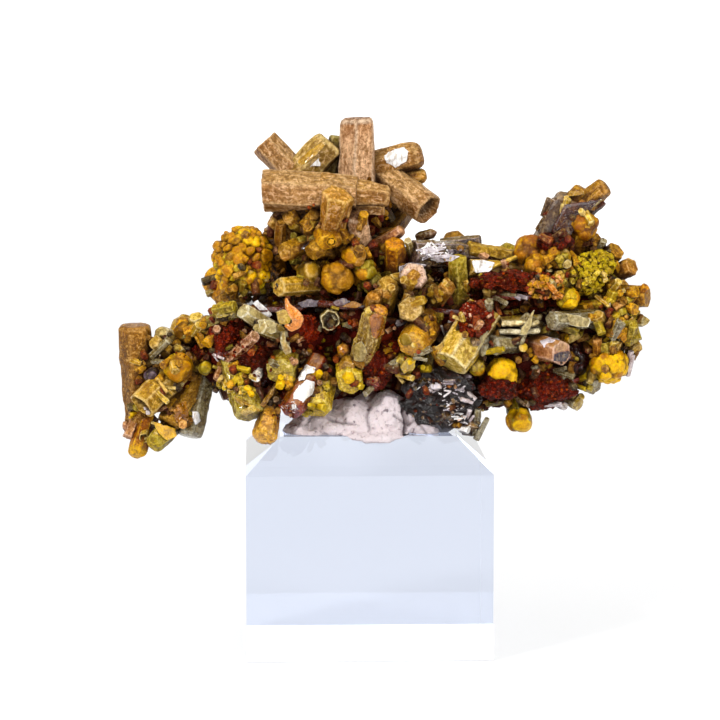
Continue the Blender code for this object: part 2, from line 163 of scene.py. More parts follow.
FRONT_BAND = (
    ((-17.6, 37.0, -7.0), (-15.3, 29.6, -12.0), 4.6, 6, "olive", "worn", 0.9),
    ((-18.2, 37.0, -8.0), (-14.6, 40.3, -13.0), 1.8, 10, "rose", "flat"),
    ((-12.2, 32.0, -9.0), (-13.5, 26.4, -14.0), 2.2, 15, "honey", "dome", 1.7),
    ((-10.2, 38.5, -5.0), (-11.2, 35.4, -12.0), 4.4, 0, "olive", "worn"),
    ((-9.4, 37.0, -6.0), (-10.6, 34.0, -12.0), 2.8, 10, "yellow", "dome"),
    ((-5.4, 35.5, -7.0), (-6.3, 30.2, -12.0), 4.0, 22, "lemon", "worn"),
    ((-1.8, 37.5, -6.0), (-2.2, 34.0, -11.8), 4.4, 10, "lemon", "worn"),
    ((-1.6, 38.5, -6.0), (-2.4, 35.8, -11.6), 2.6, 10, "umber", "worn"),
    ((-0.9, 35.8, -9.0), (1.3, 43.4, -13.2), 3.6, 18, "khaki", "worn"),
    ((0.6, 38.5, -9.5), (2.0, 43.9, -13.0), 2.4, 8, "amber", "worn"),
    ((6.2, 44.0, -6.0), (5.9, 43.8, -12.0), 3.8, 9, "sand", "worn"),
    ((8.8, 43.0, -6.0), (6.0, 38.8, -13.0), 4.4, 3, "honey", "worn"),
    ((5.6, 38.4, -6.0), (4.9, 35.9, -11.5), 3.2, 17, "lemon", "worn"),
    ((15.8, 43.4, -8.5), (11.3, 36.4, -11.8), 5.4, 15, "cream", "flat", 1.0),
    ((-4.8, 42.6, -7.0), (-4.7, 42.4, -11.0), 2.9, 12, "ash", "hollow"),
    ((14.0, 38.0, -6.0), (15.0, 35.8, -11.0), 2.4, 0, "lemon", "dome"),
    ((-24.0, 40.5, -4.0), (-16.8, 43.6, -9.0), 2.0, 5, "olive", "flat"),
    ((-13.5, 36.5, -8.0), (-14.6, 34.6, -12.5), 1.3, 5, "white", "flat"),
    ((-16.0, 37.5, -8.0), (-13.9, 31.0, -10.5), 2.2, 3, "blood", "flat"),
    ((-9.5, 37.0, -9.0), (-13.8, 30.8, -12.0), 0.9, 3, "umber", "flat"),
    ((-2.8, 36.5, -6.0), (-2.9, 38.6, -10.5), 2.0, 5, "amber", "dome"),
    ((9.5, 40.0, -7.0), (8.0, 35.2, -9.5), 1.8, 5, "olive", "worn"),
    ((2.5, 37.5, -7.0), (0.9, 33.8, -11.0), 2.2, 5, "blood", "flat"),
)
FRONT_GLASSY = (
    ((-6.4, 37.0, -8.0), (-9.9, 30.3, -13.5), 3.4, 2, "blood", "flat"),
    ((-11.8, 40.6, -8.0), (-16.3, 43.7, -11.5), 2.9, 14, "clear", "worn", 0.8),
    ((-10.4, 40.2, -8.0), (-14.0, 41.6, -11.9), 2.2, 35, "ash", "worn", 1.1),
    ((22.0, 38.9, -7.0), (26.2, 37.9, -12.5), 3.8, 4, "rose", "flat"),
)
FRONT_CLEAR = (
    ((20.8, 39.2, -7.0), (16.7, 38.9, -11.5), 3.0, 20, "clear", "worn"),
    ((25.5, 39.5, -4.0), (21.2, 42.2, -10.0), 2.6, 13, "ash", "flat"),
    ((32.5, 42.5, -5.0), (24.6, 42.2, -10.5), 2.8, 16, "clear", "worn"),
    ((16.0, 44.5, -7.0), (15.6, 37.4, -12.0), 2.2, 16, "clear", "point"),
    ((3.5, 36.0, -7.0), (0.0, 32.4, -11.5), 1.0, 6, "clear", "flat"),
)
RIGHT_FLANK = (
    ((22.4, 49.5, 0.0), (27.1, 58.6, -3.0), 4.4, 10, "smoke", "worn"),
    ((24.8, 51.0, -0.5), (28.2, 58.9, -2.2), 4.8, 20, "maroon", "worn", 0.8),
    ((25.6, 55.2, -2.0), (28.7, 59.7, -3.0), 2.6, 15, "umber", "worn"),
    ((25.2, 54.6, -1.5), (31.9, 60.0, -3.0), 3.1, 5, "bark", "worn"),
    ((24.4, 52.4, -1.5), (31.2, 58.4, -2.4), 2.4, 5, "maroon", "worn"),
    ((27.5, 50.0, 0.0), (29.0, 56.2, -5.0), 3.6, 20, "honey", "dome"),
    ((27.5, 50.5, 0.0), (30.6, 53.0, -3.5), 2.4, 20, "umber", "worn"),
    ((29.5, 48.0, 1.0), (33.3, 51.4, -3.0), 3.0, 15, "umber", "flat"),
    ((30.0, 47.0, 1.0), (35.4, 49.4, -4.0), 2.6, 3, "tan", "flat"),
    ((29.5, 45.5, -1.0), (37.5, 45.3, -4.5), 3.4, 11, "umber", "flat"),
    ((29.5, 42.5, 1.0), (37.9, 42.0, -2.0), 1.9, 0, "ash", "point"),
    ((29.5, 48.5, -1.0), (34.0, 43.5, -6.0), 2.8, 10, "ginger", "worn"),
)
RIGHT_CLEAR = (
    ((31.0, 46.0, -2.0), (34.8, 39.2, -6.0), 4.8, 18, "olive", "flat"),
    ((33.0, 45.0, -2.0), (34.4, 36.0, -5.5), 3.2, 8, "ash", "flat"),
    ((27.5, 37.0, -1.0), (30.4, 33.2, -6.0), 3.2, 14, "ash", "worn"),
    ((29.5, 36.0, -1.0), (26.0, 34.8, -7.5), 1.6, 5, "clear", "flat"),
    ((25.0, 33.5, -1.0), (28.4, 30.8, -5.0), 2.4, 5, "cream", "worn"),
    ((23.0, 33.0, 0.0), (26.6, 30.6, -6.5), 1.4, 5, "frost", "worn"),
)
UNDER_GLASSY = (
    ((13.2, 33.0, -5.0), (14.1, 27.3, -9.5), 2.7, 10, "smoke", "flat"),
    ((9.0, 34.0, -5.0), (10.5, 28.0, -9.5), 4.8, 10, "coal", "flat"),
    ((13.0, 35.0, -4.0), (7.0, 31.0, -9.5), 4.0, 10, "coal", "flat"),
    ((19.5, 33.0, -3.0), (20.8, 28.4, -7.5), 3.0, 10, "moss", "worn"),
)

# Back crystals: foot (x, y, z), tip (x, y, z), thickness, turn, look, end
BACK = (
    ((-2.0, 1.0, 55.0), (-6.5, 9.0, 63.0), 4.4, 10, "caramel", "worn"),
    ((1.0, 1.0, 56.0), (5.0, 10.0, 61.0), 4.6, 25, "tan", "worn"),
    ((-4.0, 1.0, 57.0), (-10.0, 8.0, 57.5), 4.2, 5, "bark", "hollow"),
    ((0.0, 0.0, 58.0), (-1.0, 6.0, 66.0), 3.8, 15, "caramel", "flat"),
    ((3.0, 1.0, 54.0), (6.5, 7.0, 57.5), 3.6, 0, "walnut", "worn"),
    ((-6.0, 2.0, 47.0), (-12.0, 12.0, 52.5), 5.0, 20, "honey", "worn"),
    ((2.0, 3.0, 48.0), (3.0, 13.0, 53.0), 4.6, 8, "olive", "hollow"),
    ((9.0, 2.0, 46.0), (13.0, 11.0, 52.0), 4.2, 14, "caramel", "worn"),
    ((15.0, 3.0, 45.0), (20.0, 12.0, 50.0), 4.8, 3, "olive", "worn"),
    ((22.0, 3.0, 45.0), (27.0, 11.0, 51.0), 4.4, 18, "honey", "dome"),
    ((28.0, 2.0, 43.0), (35.0, 8.0, 46.0), 4.2, 6, "caramel", "worn"),
    ((29.0, 2.0, 40.0), (34.0, 9.0, 37.5), 4.6, 12, "lemon", "dome"),
    ((-14.0, 3.0, 42.0), (-20.0, 11.0, 47.0), 5.2, 0, "honey", "hollow"),
    ((-18.0, 2.0, 38.0), (-25.0, 9.0, 40.5), 4.6, 16, "sand", "worn"),
    ((-24.0, 0.0, 34.0), (-30.0, 6.0, 36.0), 4.6, 9, "tan", "worn"),
    ((-22.0, 0.0, 34.0), (-25.5, 5.0, 28.0), 4.2, 21, "amber", "dome"),
    ((-10.0, 6.0, 40.0), (-11.0, 16.5, 41.5), 5.4, 4, "olive", "worn"),
    ((-2.0, 7.0, 41.0), (-3.5, 17.5, 44.0), 5.0, 13, "caramel", "hollow"),
    ((6.0, 7.0, 40.0), (7.0, 17.5, 40.0), 5.6, 22, "cream", "worn"),
    ((14.0, 6.0, 40.0), (16.5, 16.0, 42.5), 5.0, 7, "olive", "hollow"),
    ((22.0, 5.0, 39.0), (25.5, 14.0, 39.5), 5.2, 15, "honey", "worn"),
    ((-14.0, 5.0, 37.0), (-19.0, 13.0, 34.5), 4.6, 1, "caramel", "dome"),
    ((-5.0, 7.0, 37.0), (-7.0, 15.5, 35.0), 4.4, 19, "amber", "worn"),
    ((10.0, 7.0, 37.0), (11.5, 15.0, 34.0), 4.6, 10, "walnut", "worn"),
    ((18.0, 5.0, 36.0), (20.5, 12.5, 32.5), 4.4, 5, "olive", "dome"),
)

# Balls grown of small rounded heads: centre (x, z, y), radius, heads, depth of the clefts, looks
BALLS = (
    ((-16.1, 50.8, -4.0), 3.95, 130, 0.14, "honey honey umber honey yellow"),
    ((-17.4, 49.4, -5.2), 2.6, 50, 0.15, "yellow honey lemon"),
    ((-15.0, 48.6, -5.4), 2.4, 40, 0.15, "lemon cream yellow honey"),
    ((-14.0, 50.0, -1.5), 3.7, 10, 0.05, "walnut umber"),
    ((-17.8, 47.2, -5.0), 1.5, 14, 0.12, "honey sand yellow"),
    ((-3.8, 48.0, -9.5), 2.2, 16, 0.14, "caramel honey caramel"),
    ((-1.4, 50.9, -9.5), 1.7, 14, 0.14, "tan honey"),
    ((0.0, 49.0, -9.0), 1.6, 12, 0.14, "honey olive"),
    ((0.9, 47.3, -8.5), 1.5, 10, 0.12, "olive moss"),
    ((-7.4, 48.6, -8.0), 1.6, 9, 0.08, "khaki sand"),
    ((21.8, 51.4, -5.0), 2.2, 14, 0.16, "amber ginger honey"),
    ((25.1, 50.6, -6.5), 2.2, 14, 0.16, "honey ginger sand"),
    ((22.7, 49.4, -7.5), 1.7, 10, 0.16, "honey ginger"),
    ((25.7, 47.6, -7.0), 1.6, 10, 0.14, "sand ash"),
    ((28.9, 54.7, -4.0), 2.0, 12, 0.14, "honey amber"),
    ((29.4, 48.4, -5.5), 2.7, 150, 0.16, "lime lemon lime"),
    ((31.0, 49.6, -4.4), 2.1, 90, 0.16, "lemon lime"),
    ((28.4, 47.0, -5.0), 1.6, 60, 0.16, "lime yellow"),
    ((18.2, 35.2, -9.5), 2.15, 26, 0.12, "yellow"),
    ((32.4, 36.3, -6.5), 2.6, 40, 0.12, "yellow yellow honey"),
    ((30.8, 35.2, -5.5), 1.5, 8, 0.08, "yellow lemon"),
    ((20.6, 28.9, -6.5), 1.8, 10, 0.08, "yellow honey"),
    ((26.9, 45.1, -8.5), 1.6, 16, 0.14, "yellow lemon honey"),
    ((-24.7, 36.1, -7.5), 2.0, 10, 0.12, "honey yellow ginger"),
    ((-24.1, 41.0, -4.0), 1.4, 8, 0.14, "honey umber"),
    ((-21.2, 36.0, -7.5), 1.0, 6, 0.10, "olive lemon"),
    ((14.9, 35.9, -10.0), 1.1, 6, 0.10, "lemon honey"),
    ((5.4, 39.7, -13.0), 0.8, 1, 0.0, "cream"),
    ((6.4, 39.0, -13.2), 0.4, 1, 0.0, "cream"),
    ((21.0, 38.6, -10.5), 0.6, 1, 0.0, "cream"),
    ((-28.2, 35.1, -7.0), 1.15, 7, 0.12, "violet"),
)

# Barite blades: centre (x, z, y), length, width, thickness, tilt and lean in degrees, look
BLADES = (
    ((-11.6, 44.6, -4.0), 11.0, 10.0, 0.8, 3, 4, "maroon"),
    ((-3.0, 44.4, -5.0), 11.0, 10.0, 0.8, -3, -5, "maroon"),
    ((-17.0, 39.5, -4.0), 9.0, 10.0, 1.4, 8, 10, "blood"),
    ((10.0, 44.4, -3.5), 12.0, 10.0, 0.9, -4, 6, "maroon"),
    ((19.8, 47.6, -4.0), 12.0, 10.0, 0.8, 4, -4, "maroon"),
    ((20.5, 46.2, -5.0), 12.0, 9.0, 0.7, 2, 5, "blood"),
    ((20.0, 42.9, -5.0), 8.0, 11.0, 0.7, 2, 5, "cream"),
    ((20.0, 41.6, -5.0), 8.5, 11.0, 0.7, 1, 3, "ash"),
    ((3.0, 37.0, -4.0), 14.0, 8.0, 1.4, -4, 0, "maroon"),
    ((24.0, 33.8, -2.0), 12.0, 10.0, 1.4, 6, -6, "blood"),
    ((12.0, 33.5, -3.0), 11.0, 9.0, 1.6, 2, 8, "coal"),
)

# The grown-together middle: centre (x, y, z) and half sizes
LUMPS = (
    ((-17.0, -1.0, 38.5), (7.5, 8.5, 6.5)),
    ((-9.5, 0.0, 40.0), (8.5, 11.0, 7.5)),
    ((0.0, 0.5, 41.0), (9.0, 12.0, 8.0)),
    ((10.0, 0.5, 40.5), (9.0, 11.0, 8.5)),
    ((19.5, 0.0, 40.0), (8.5, 10.0, 8.5)),
    ((27.5, 0.0, 41.0), (6.5, 8.0, 8.0)),
    ((25.5, 1.0, 48.0), (5.0, 5.0, 5.0)),
    ((-24.5, -2.0, 34.5), (5.0, 5.5, 5.5)),
    ((-4.0, 0.0, 49.5), (8.0, 7.5, 5.0)),
    ((6.0, 0.0, 49.0), (8.5, 7.0, 4.0)),
    ((-1.0, -1.0, 57.5), (6.0, 5.5, 5.5)),
    ((10.5, -1.0, 34.0), (6.0, 7.5, 4.2)),
    ((4.0, -1.0, 35.5), (5.5, 7.0, 4.2)),
    ((-12.0, -2.5, 34.0), (5.2, 6.5, 4.4)),
    ((-4.0, -2.0, 35.0), (5.0, 6.5, 4.4)),
    ((18.0, 0.0, 34.0), (5.5, 6.0, 4.6)),
)
CORE_SHRINK = 1.6
CORE_VOXEL = 0.5
HOLLOW_TRIES = 1800

# Curled shells of crystal: look, then (x, z, y, thickness) from end to end
CURLS = (
    ("salmon", ((-10.5, 45.2, -12.4, 0.3), (-10.2, 44.2, -12.6, 0.9), (-9.5, 43.3, -13.0, 1.4),
                (-8.9, 42.5, -13.3, 1.5), (-9.1, 41.7, -13.2, 1.2), (-9.8, 41.3, -12.9, 0.9),
                (-10.6, 41.7, -12.6, 0.4))),
    ("ash", ((-10.9, 40.8, -11.0, 0.6), (-10.9, 39.6, -11.6, 0.8), (-10.4, 38.4, -12.0, 1.1),
             (-10.2, 37.9, -12.0, 0.8))),
)
CURL_SIDES = 16

# The putty: centre (x, y, z) and half sizes of its pressed lobes
PUTTY_LOBES = (
    ((0.0, -2.0, 29.0), (9.2, 9.0, 4.0)),
    ((-4.5, -5.5, 29.0), (5.6, 5.4, 2.6)),
    ((2.7, -7.2, 30.4), (2.7, 3.6, 3.4)),
    ((7.3, -6.6, 29.6), (2.5, 3.6, 3.8)),
    ((0.8, -9.6, 28.2), (4.6, 2.9, 1.1)),
    ((-7.4, -6.6, 28.6), (3.6, 4.4, 1.5)),
    ((-1.8, -6.4, 30.2), (2.6, 3.8, 2.5)),
)
# The block's top, the half width of its flat part, and the thin gap under the putty
BLOCK_TOP = 28.5
BLOCK_FLAT = 11.425
PUTTY_GAP = 0.05

# Small crystals on the front: x, z, angle in the picture, lean to the viewer, length, thickness, look, end
STUDS = (
    (-4.5, 53.0, 270, 70, 1.4, 1.5, "honey", "hollow"),
    (-6.3, 55.4, 200, 35, 2.6, 1.4, "khaki", "flat"),
    (-9.4, 56.4, 120, 30, 2.0, 1.2, "umber", "worn"),
    (-5.0, 51.4, 150, 40, 2.2, 1.4, "umber", "worn"),
    (-8.9, 50.2, 170, 30, 2.4, 1.3, "moss", "worn"),
    (-6.4, 49.8, 60, 40, 1.8, 1.2, "khaki", "dome"),
    (2.0, 50.0, 80, 30, 2.0, 1.2, "moss", "worn"),
    (-11.6, 49.2, 100, 40, 1.8, 1.0, "walnut", "worn"),
    (2.9, 48.3, 30, 50, 1.8, 1.3, "olive", "dome"),
    (9.6, 48.8, 20, 30, 1.6, 0.9, "slate", "flat"),
    (13.4, 47.0, 100, 40, 1.7, 1.0, "sand", "dome"),
    (-17.8, 46.4, 30, 40, 2.2, 1.3, "umber", "worn"),
    (-16.2, 47.0, 80, 40, 1.8, 1.2, "olive", "dome"),
    (-13.6, 46.3, 20, 50, 1.8, 1.5, "olive", "dome"),
    (-15.5, 45.2, 130, 40, 1.6, 1.1, "cream", "worn"),
    (-18.4, 43.9, 15, 30, 3.0, 1.8, "olive", "flat"),
    (-20.9, 43.5, 35, 40, 1.8, 1.3, "lemon", "worn"),
    (-22.3, 41.3, 60, 40, 2.0, 1.4, "cream", "worn"),
    (-21.5, 39.9, 300, 30, 1.8, 0.9, "honey", "worn"),
    (-24.6, 38.4, 120, 50, 1.8, 1.5, "cream", "dome"),
    (-22.6, 37.0, 100, 40, 1.6, 1.0, "umber", "worn"),
    (-27.0, 38.8, 45, 20, 3.4, 1.3, "ash", "worn"),
    (-28.2, 37.3, 50, 20, 2.2, 1.2, "sand", "worn"),
    (-27.2, 32.4, 320, 15, 3.2, 0.9, "cream", "worn"),
    (-26.4, 33.3, 315, 15, 2.6, 0.8, "sand", "worn"),
    (-29.3, 26.9, 250, 70, 1.2, 1.6, "cream", "hollow"),
    (-30.8, 30.0, 200, 40, 1.1, 0.8, "yellow", "dome"),
    (-28.7, 30.3, 240, 60, 1.0, 0.9, "frost", "worn"),
    (-24.7, 30.2, 120, 40, 2.2, 1.4, "ginger", "worn"),
    (-25.9, 31.0, 230, 40, 2.0, 1.3, "umber", "worn"),
    (-27.6, 27.6, 240, 40, 1.4, 0.9, "cream", "worn"),
    (-10.6, 40.0, 100, 20, 1.8, 0.9, "clear", "flat"),
    (-10.8, 39.0, 250, 60, 1.0, 1.2, "ash", "hollow"),
    (-19.3, 37.5, 340, 30, 1.7, 0.5, "frost", "flat"),
    (-19.4, 35.3, 250, 30, 2.2, 1.3, "rose", "worn"),
    (-18.5, 34.0, 290, 40, 1.8, 1.1, "cream", "worn"),
    (-17.4, 36.4, 30, 30, 2.2, 0.9, "honey", "worn"),
    (-16.0, 35.8, 350, 40, 2.0, 1.0, "lemon", "worn"),
    (-16.5, 34.2, 280, 50, 1.8, 1.3, "lemon", "dome"),
    (-15.3, 32.8, 300, 40, 1.6, 0.9, "yellow", "worn"),
    (-15.4, 30.4, 30, 50, 2.2, 1.2, "cream", "worn"),
    (-11.2, 34.0, 250, 50, 1.8, 1.4, "yellow", "worn"),
    (-10.2, 33.8, 310, 50, 1.5, 1.1, "honey", "dome"),
    (-12.0, 36.6, 150, 40, 1.8, 1.1, "ash", "worn"),
    (-9.6, 36.6, 40, 40, 1.6, 0.9, "rose", "flat"),
    (-6.3, 34.9, 60, 40, 1.8, 1.1, "yellow", "worn"),
    (-5.2, 33.2, 80, 50, 1.8, 1.2, "olive", "dome"),
    (-6.0, 30.8, 350, 50, 2.2, 1.3, "lemon", "worn"),
    (-7.8, 30.2, 240, 40, 1.7, 1.1, "olive", "worn"),
    (-10.4, 28.7, 250, 50, 1.6, 1.2, "rose", "worn"),
    (-9.0, 28.6, 330, 50, 1.2, 0.6, "frost", "flat"),
    (-12.6, 31.8, 50, 10, 3.2, 0.5, "umber", "flat"),
    (-15.5, 31.0, 335, 10, 3.4, 0.5, "sand", "flat"),
    (-2.2, 34.7, 270, 60, 1.8, 1.8, "yellow", "dome"),
    (-0.9, 33.6, 330, 50, 1.4, 1.0, "lemon", "worn"),
    (-3.6, 33.4, 240, 30, 2.0, 1.1, "ash", "worn"),
    (-4.6, 38.4, 170, 30, 1.5, 0.8, "olive", "flat"),
    (-2.4, 41.7, 10, 30, 1.6, 0.9, "olive", "flat"),
    (-5.6, 43.6, 350, 20, 1.8, 0.8, "ash", "hollow"),
    (-4.2, 42.8, 300, 30, 1.6, 0.7, "clear", "flat"),
    (-6.0, 41.4, 250, 40, 1.3, 0.8, "ash", "flat"),
    (-8.6, 39.8, 200, 40, 1.4, 0.9, "rose", "worn"),
    (-8.0, 37.9, 20, 40, 1.5, 0.9, "smoke", "worn"),
    (0.4, 43.2, 90, 50, 1.2, 1.0, "cream", "worn"),
    (4.6, 42.0, 190, 30, 2.0, 1.2, "frost", "worn"),
    (3.2, 41.0, 210, 30, 1.4, 0.8, "rose", "worn"),
    (7.4, 42.0, 30, 30, 2.4, 1.2, "umber", "flat"),
    (8.6, 41.0, 290, 30, 2.2, 1.1, "honey", "worn"),
    (7.8, 38.0, 30, 20, 2.4, 0.9, "clear", "flat"),
    (3.0, 38.3, 200, 40, 1.6, 0.9, "honey", "dome"),
    (5.8, 36.7, 20, 50, 1.6, 1.3, "yellow", "dome"),
    (4.2, 36.2, 230, 40, 2.0, 1.1, "clear", "worn"),
    (5.4, 34.8, 350, 40, 2.6, 1.0, "cream", "worn"),
    (8.0, 35.8, 10, 40, 1.8, 1.1, "lemon", "flat"),
    (10.9, 41.1, 78, 20, 2.6, 0.55, "white", "flat"),
    (9.6, 42.8, 0, 30, 1.8, 1.1, "olive", "worn"),
    (9.6, 37.6, 120, 30, 2.6, 1.3, "honey", "flat"),
    (12.8, 42.8, 110, 30, 1.3, 0.8, "cream", "dome"),
    (16.2, 44.0, 80, 30, 2.2, 1.4, "ash", "worn"),
    (15.0, 41.5, 60, 40, 1.8, 1.1, "rose", "flat"),
    (14.6, 39.6, 320, 40, 1.6, 1.0, "smoke", "flat"),
    (18.6, 45.7, 8, 25, 3.4, 0.9, "ash", "worn"),
    (20.6, 45.4, 350, 25, 2.2, 0.8, "lavender", "worn"),
    (18.6, 43.2, 5, 30, 2.6, 0.9, "cream", "worn"),
    (19.8, 43.4, 15, 30, 1.6, 0.8, "lemon", "worn"),
    (18.2, 49.0, 340, 40, 2.2, 1.2, "tan", "dome"),
    (16.6, 45.8, 70, 40, 2.2, 1.5, "sand", "worn"),
    (24.6, 46.7, 310, 30, 2.4, 0.9, "salmon", "worn"),
    (23.2, 46.2, 340, 30, 2.0, 0.8, "rust", "worn"),
    (25.6, 45.6, 330, 30, 1.6, 0.8, "salmon", "worn"),
    (21.3, 40.4, 245, 20, 3.4, 0.6, "clear", "flat"),
    (23.4, 40.6, 30, 30, 2.2, 1.1, "olive", "flat"),
    (22.0, 38.2, 200, 50, 1.4, 1.0, "honey", "dome"),
    (22.8, 37.2, 240, 40, 1.5, 1.0, "honey", "worn"),
    (22.4, 35.8, 100, 50, 1.2, 0.9, "clear", "worn"),
    (24.2, 36.2, 330, 50, 1.5, 1.1, "honey", "worn"),
    (20.6, 35.0, 320, 30, 1.7, 0.9, "cream", "flat"),
    (17.4, 38.2, 15, 30, 2.6, 0.9, "lime", "flat"),
    (26.8, 41.0, 340, 15, 3.4, 1.1, "moss", "flat"),
    (27.2, 44.4, 20, 50, 1.8, 1.2, "yellow", "worn"),
    (32.4, 43.4, 100, 25, 2.6, 0.6, "white", "flat"),
    (31.6, 44.6, 320, 30, 2.4, 0.7, "cream", "worn"),
    (35.2, 45.8, 20, 40, 2.2, 1.8, "honey", "flat"),
    (33.2, 46.8, 60, 40, 2.2, 1.2, "cream", "flat"),
    (36.9, 46.2, 60, 30, 1.6, 1.2, "amber", "flat"),
    (31.6, 48.0, 300, 40, 1.8, 0.9, "cream", "worn"),
    (31.0, 41.5, 290, 30, 2.8, 1.4, "olive", "flat"),
    (33.4, 41.0, 75, 30, 3.0, 1.0, "clear", "flat"),
    (35.4, 40.4, 80, 30, 3.0, 1.5, "olive", "flat"),
    (31.0, 38.6, 100, 30, 3.0, 1.5, "ginger", "flat"),
    (32.8, 38.8, 60, 40, 2.0, 1.0, "cream", "flat"),
    (35.2, 36.6, 85, 20, 3.6, 1.0, "frost", "flat"),
    (36.0, 37.6, 70, 20, 1.4, 0.8, "walnut", "flat"),
    (29.6, 38.2, 80, 20, 2.4, 1.0, "walnut", "flat"),
    (28.6, 34.4, 30, 40, 2.6, 1.0, "lemon", "flat"),
    (30.0, 34.2, 330, 40, 2.2, 1.2, "clear", "flat"),
    (26.6, 35.0, 345, 25, 2.8, 0.9, "ash", "flat"),
    (28.4, 31.6, 50, 40, 2.0, 1.1, "cream", "worn"),
    (24.6, 30.9, 5, 20, 3.6, 0.8, "frost", "worn"),
    (25.4, 30.3, 175, 20, 3.0, 0.7, "ash", "worn"),
    (19.3, 31.2, 200, 40, 2.2, 1.3, "umber", "dome"),
    (21.2, 31.2, 340, 40, 1.8, 1.1, "smoke", "worn"),
    (17.2, 31.2, 185, 30, 2.8, 1.0, "moss", "worn"),
    (14.8, 28.8, 85, 10, 3.6, 1.2, "clear", "flat"),
    (13.4, 31.5, 160, 30, 1.8, 0.7, "frost", "flat"),
    (12.2, 28.3, 10, 50, 1.6, 1.1, "umber", "worn"),
    (13.2, 27.6, 350, 40, 1.5, 1.1, "white", "flat"),
    (13.8, 29.8, 80, 40, 1.5, 0.8, "frost", "flat"),
    (9.4, 33.3, 10, 20, 1.5, 0.7, "frost", "flat"),
    (11.0, 34.1, 5, 20, 2.2, 0.5, "lavender", "flat"),
    (13.6, 34.7, 20, 30, 1.4, 0.9, "lavender", "dome"),
    (6.0, 32.6, 60, 30, 1.4, 0.9, "blood", "flat"),
    (7.4, 33.8, 40, 30, 1.8, 1.0, "coal", "flat"),
    (24.6, 57.2, 70, 20, 3.0, 1.2, "smoke", "worn"),
    (26.6, 57.4, 75, 25, 2.4, 0.8, "cream", "worn"),
    (23.6, 55.2, 60, 20, 2.4, 1.2, "smoke", "worn"),
    (25.6, 53.4, 40, 30, 2.4, 1.3, "maroon", "flat"),
    (24.0, 52.9, 330, 30, 2.0, 1.1, "blood", "worn"),
    (27.4, 51.9, 250, 30, 1.8, 1.0, "blood", "flat"),
    (30.2, 58.4, 45, 15, 3.2, 1.4, "tan", "worn"),
    (28.4, 57.4, 60, 30, 2.0, 1.2, "ginger", "dome"),
    (29.6, 55.6, 300, 30, 2.0, 1.2, "cream", "dome"),
    (31.2, 52.2, 60, 30, 2.0, 1.2, "ash", "worn"),
)
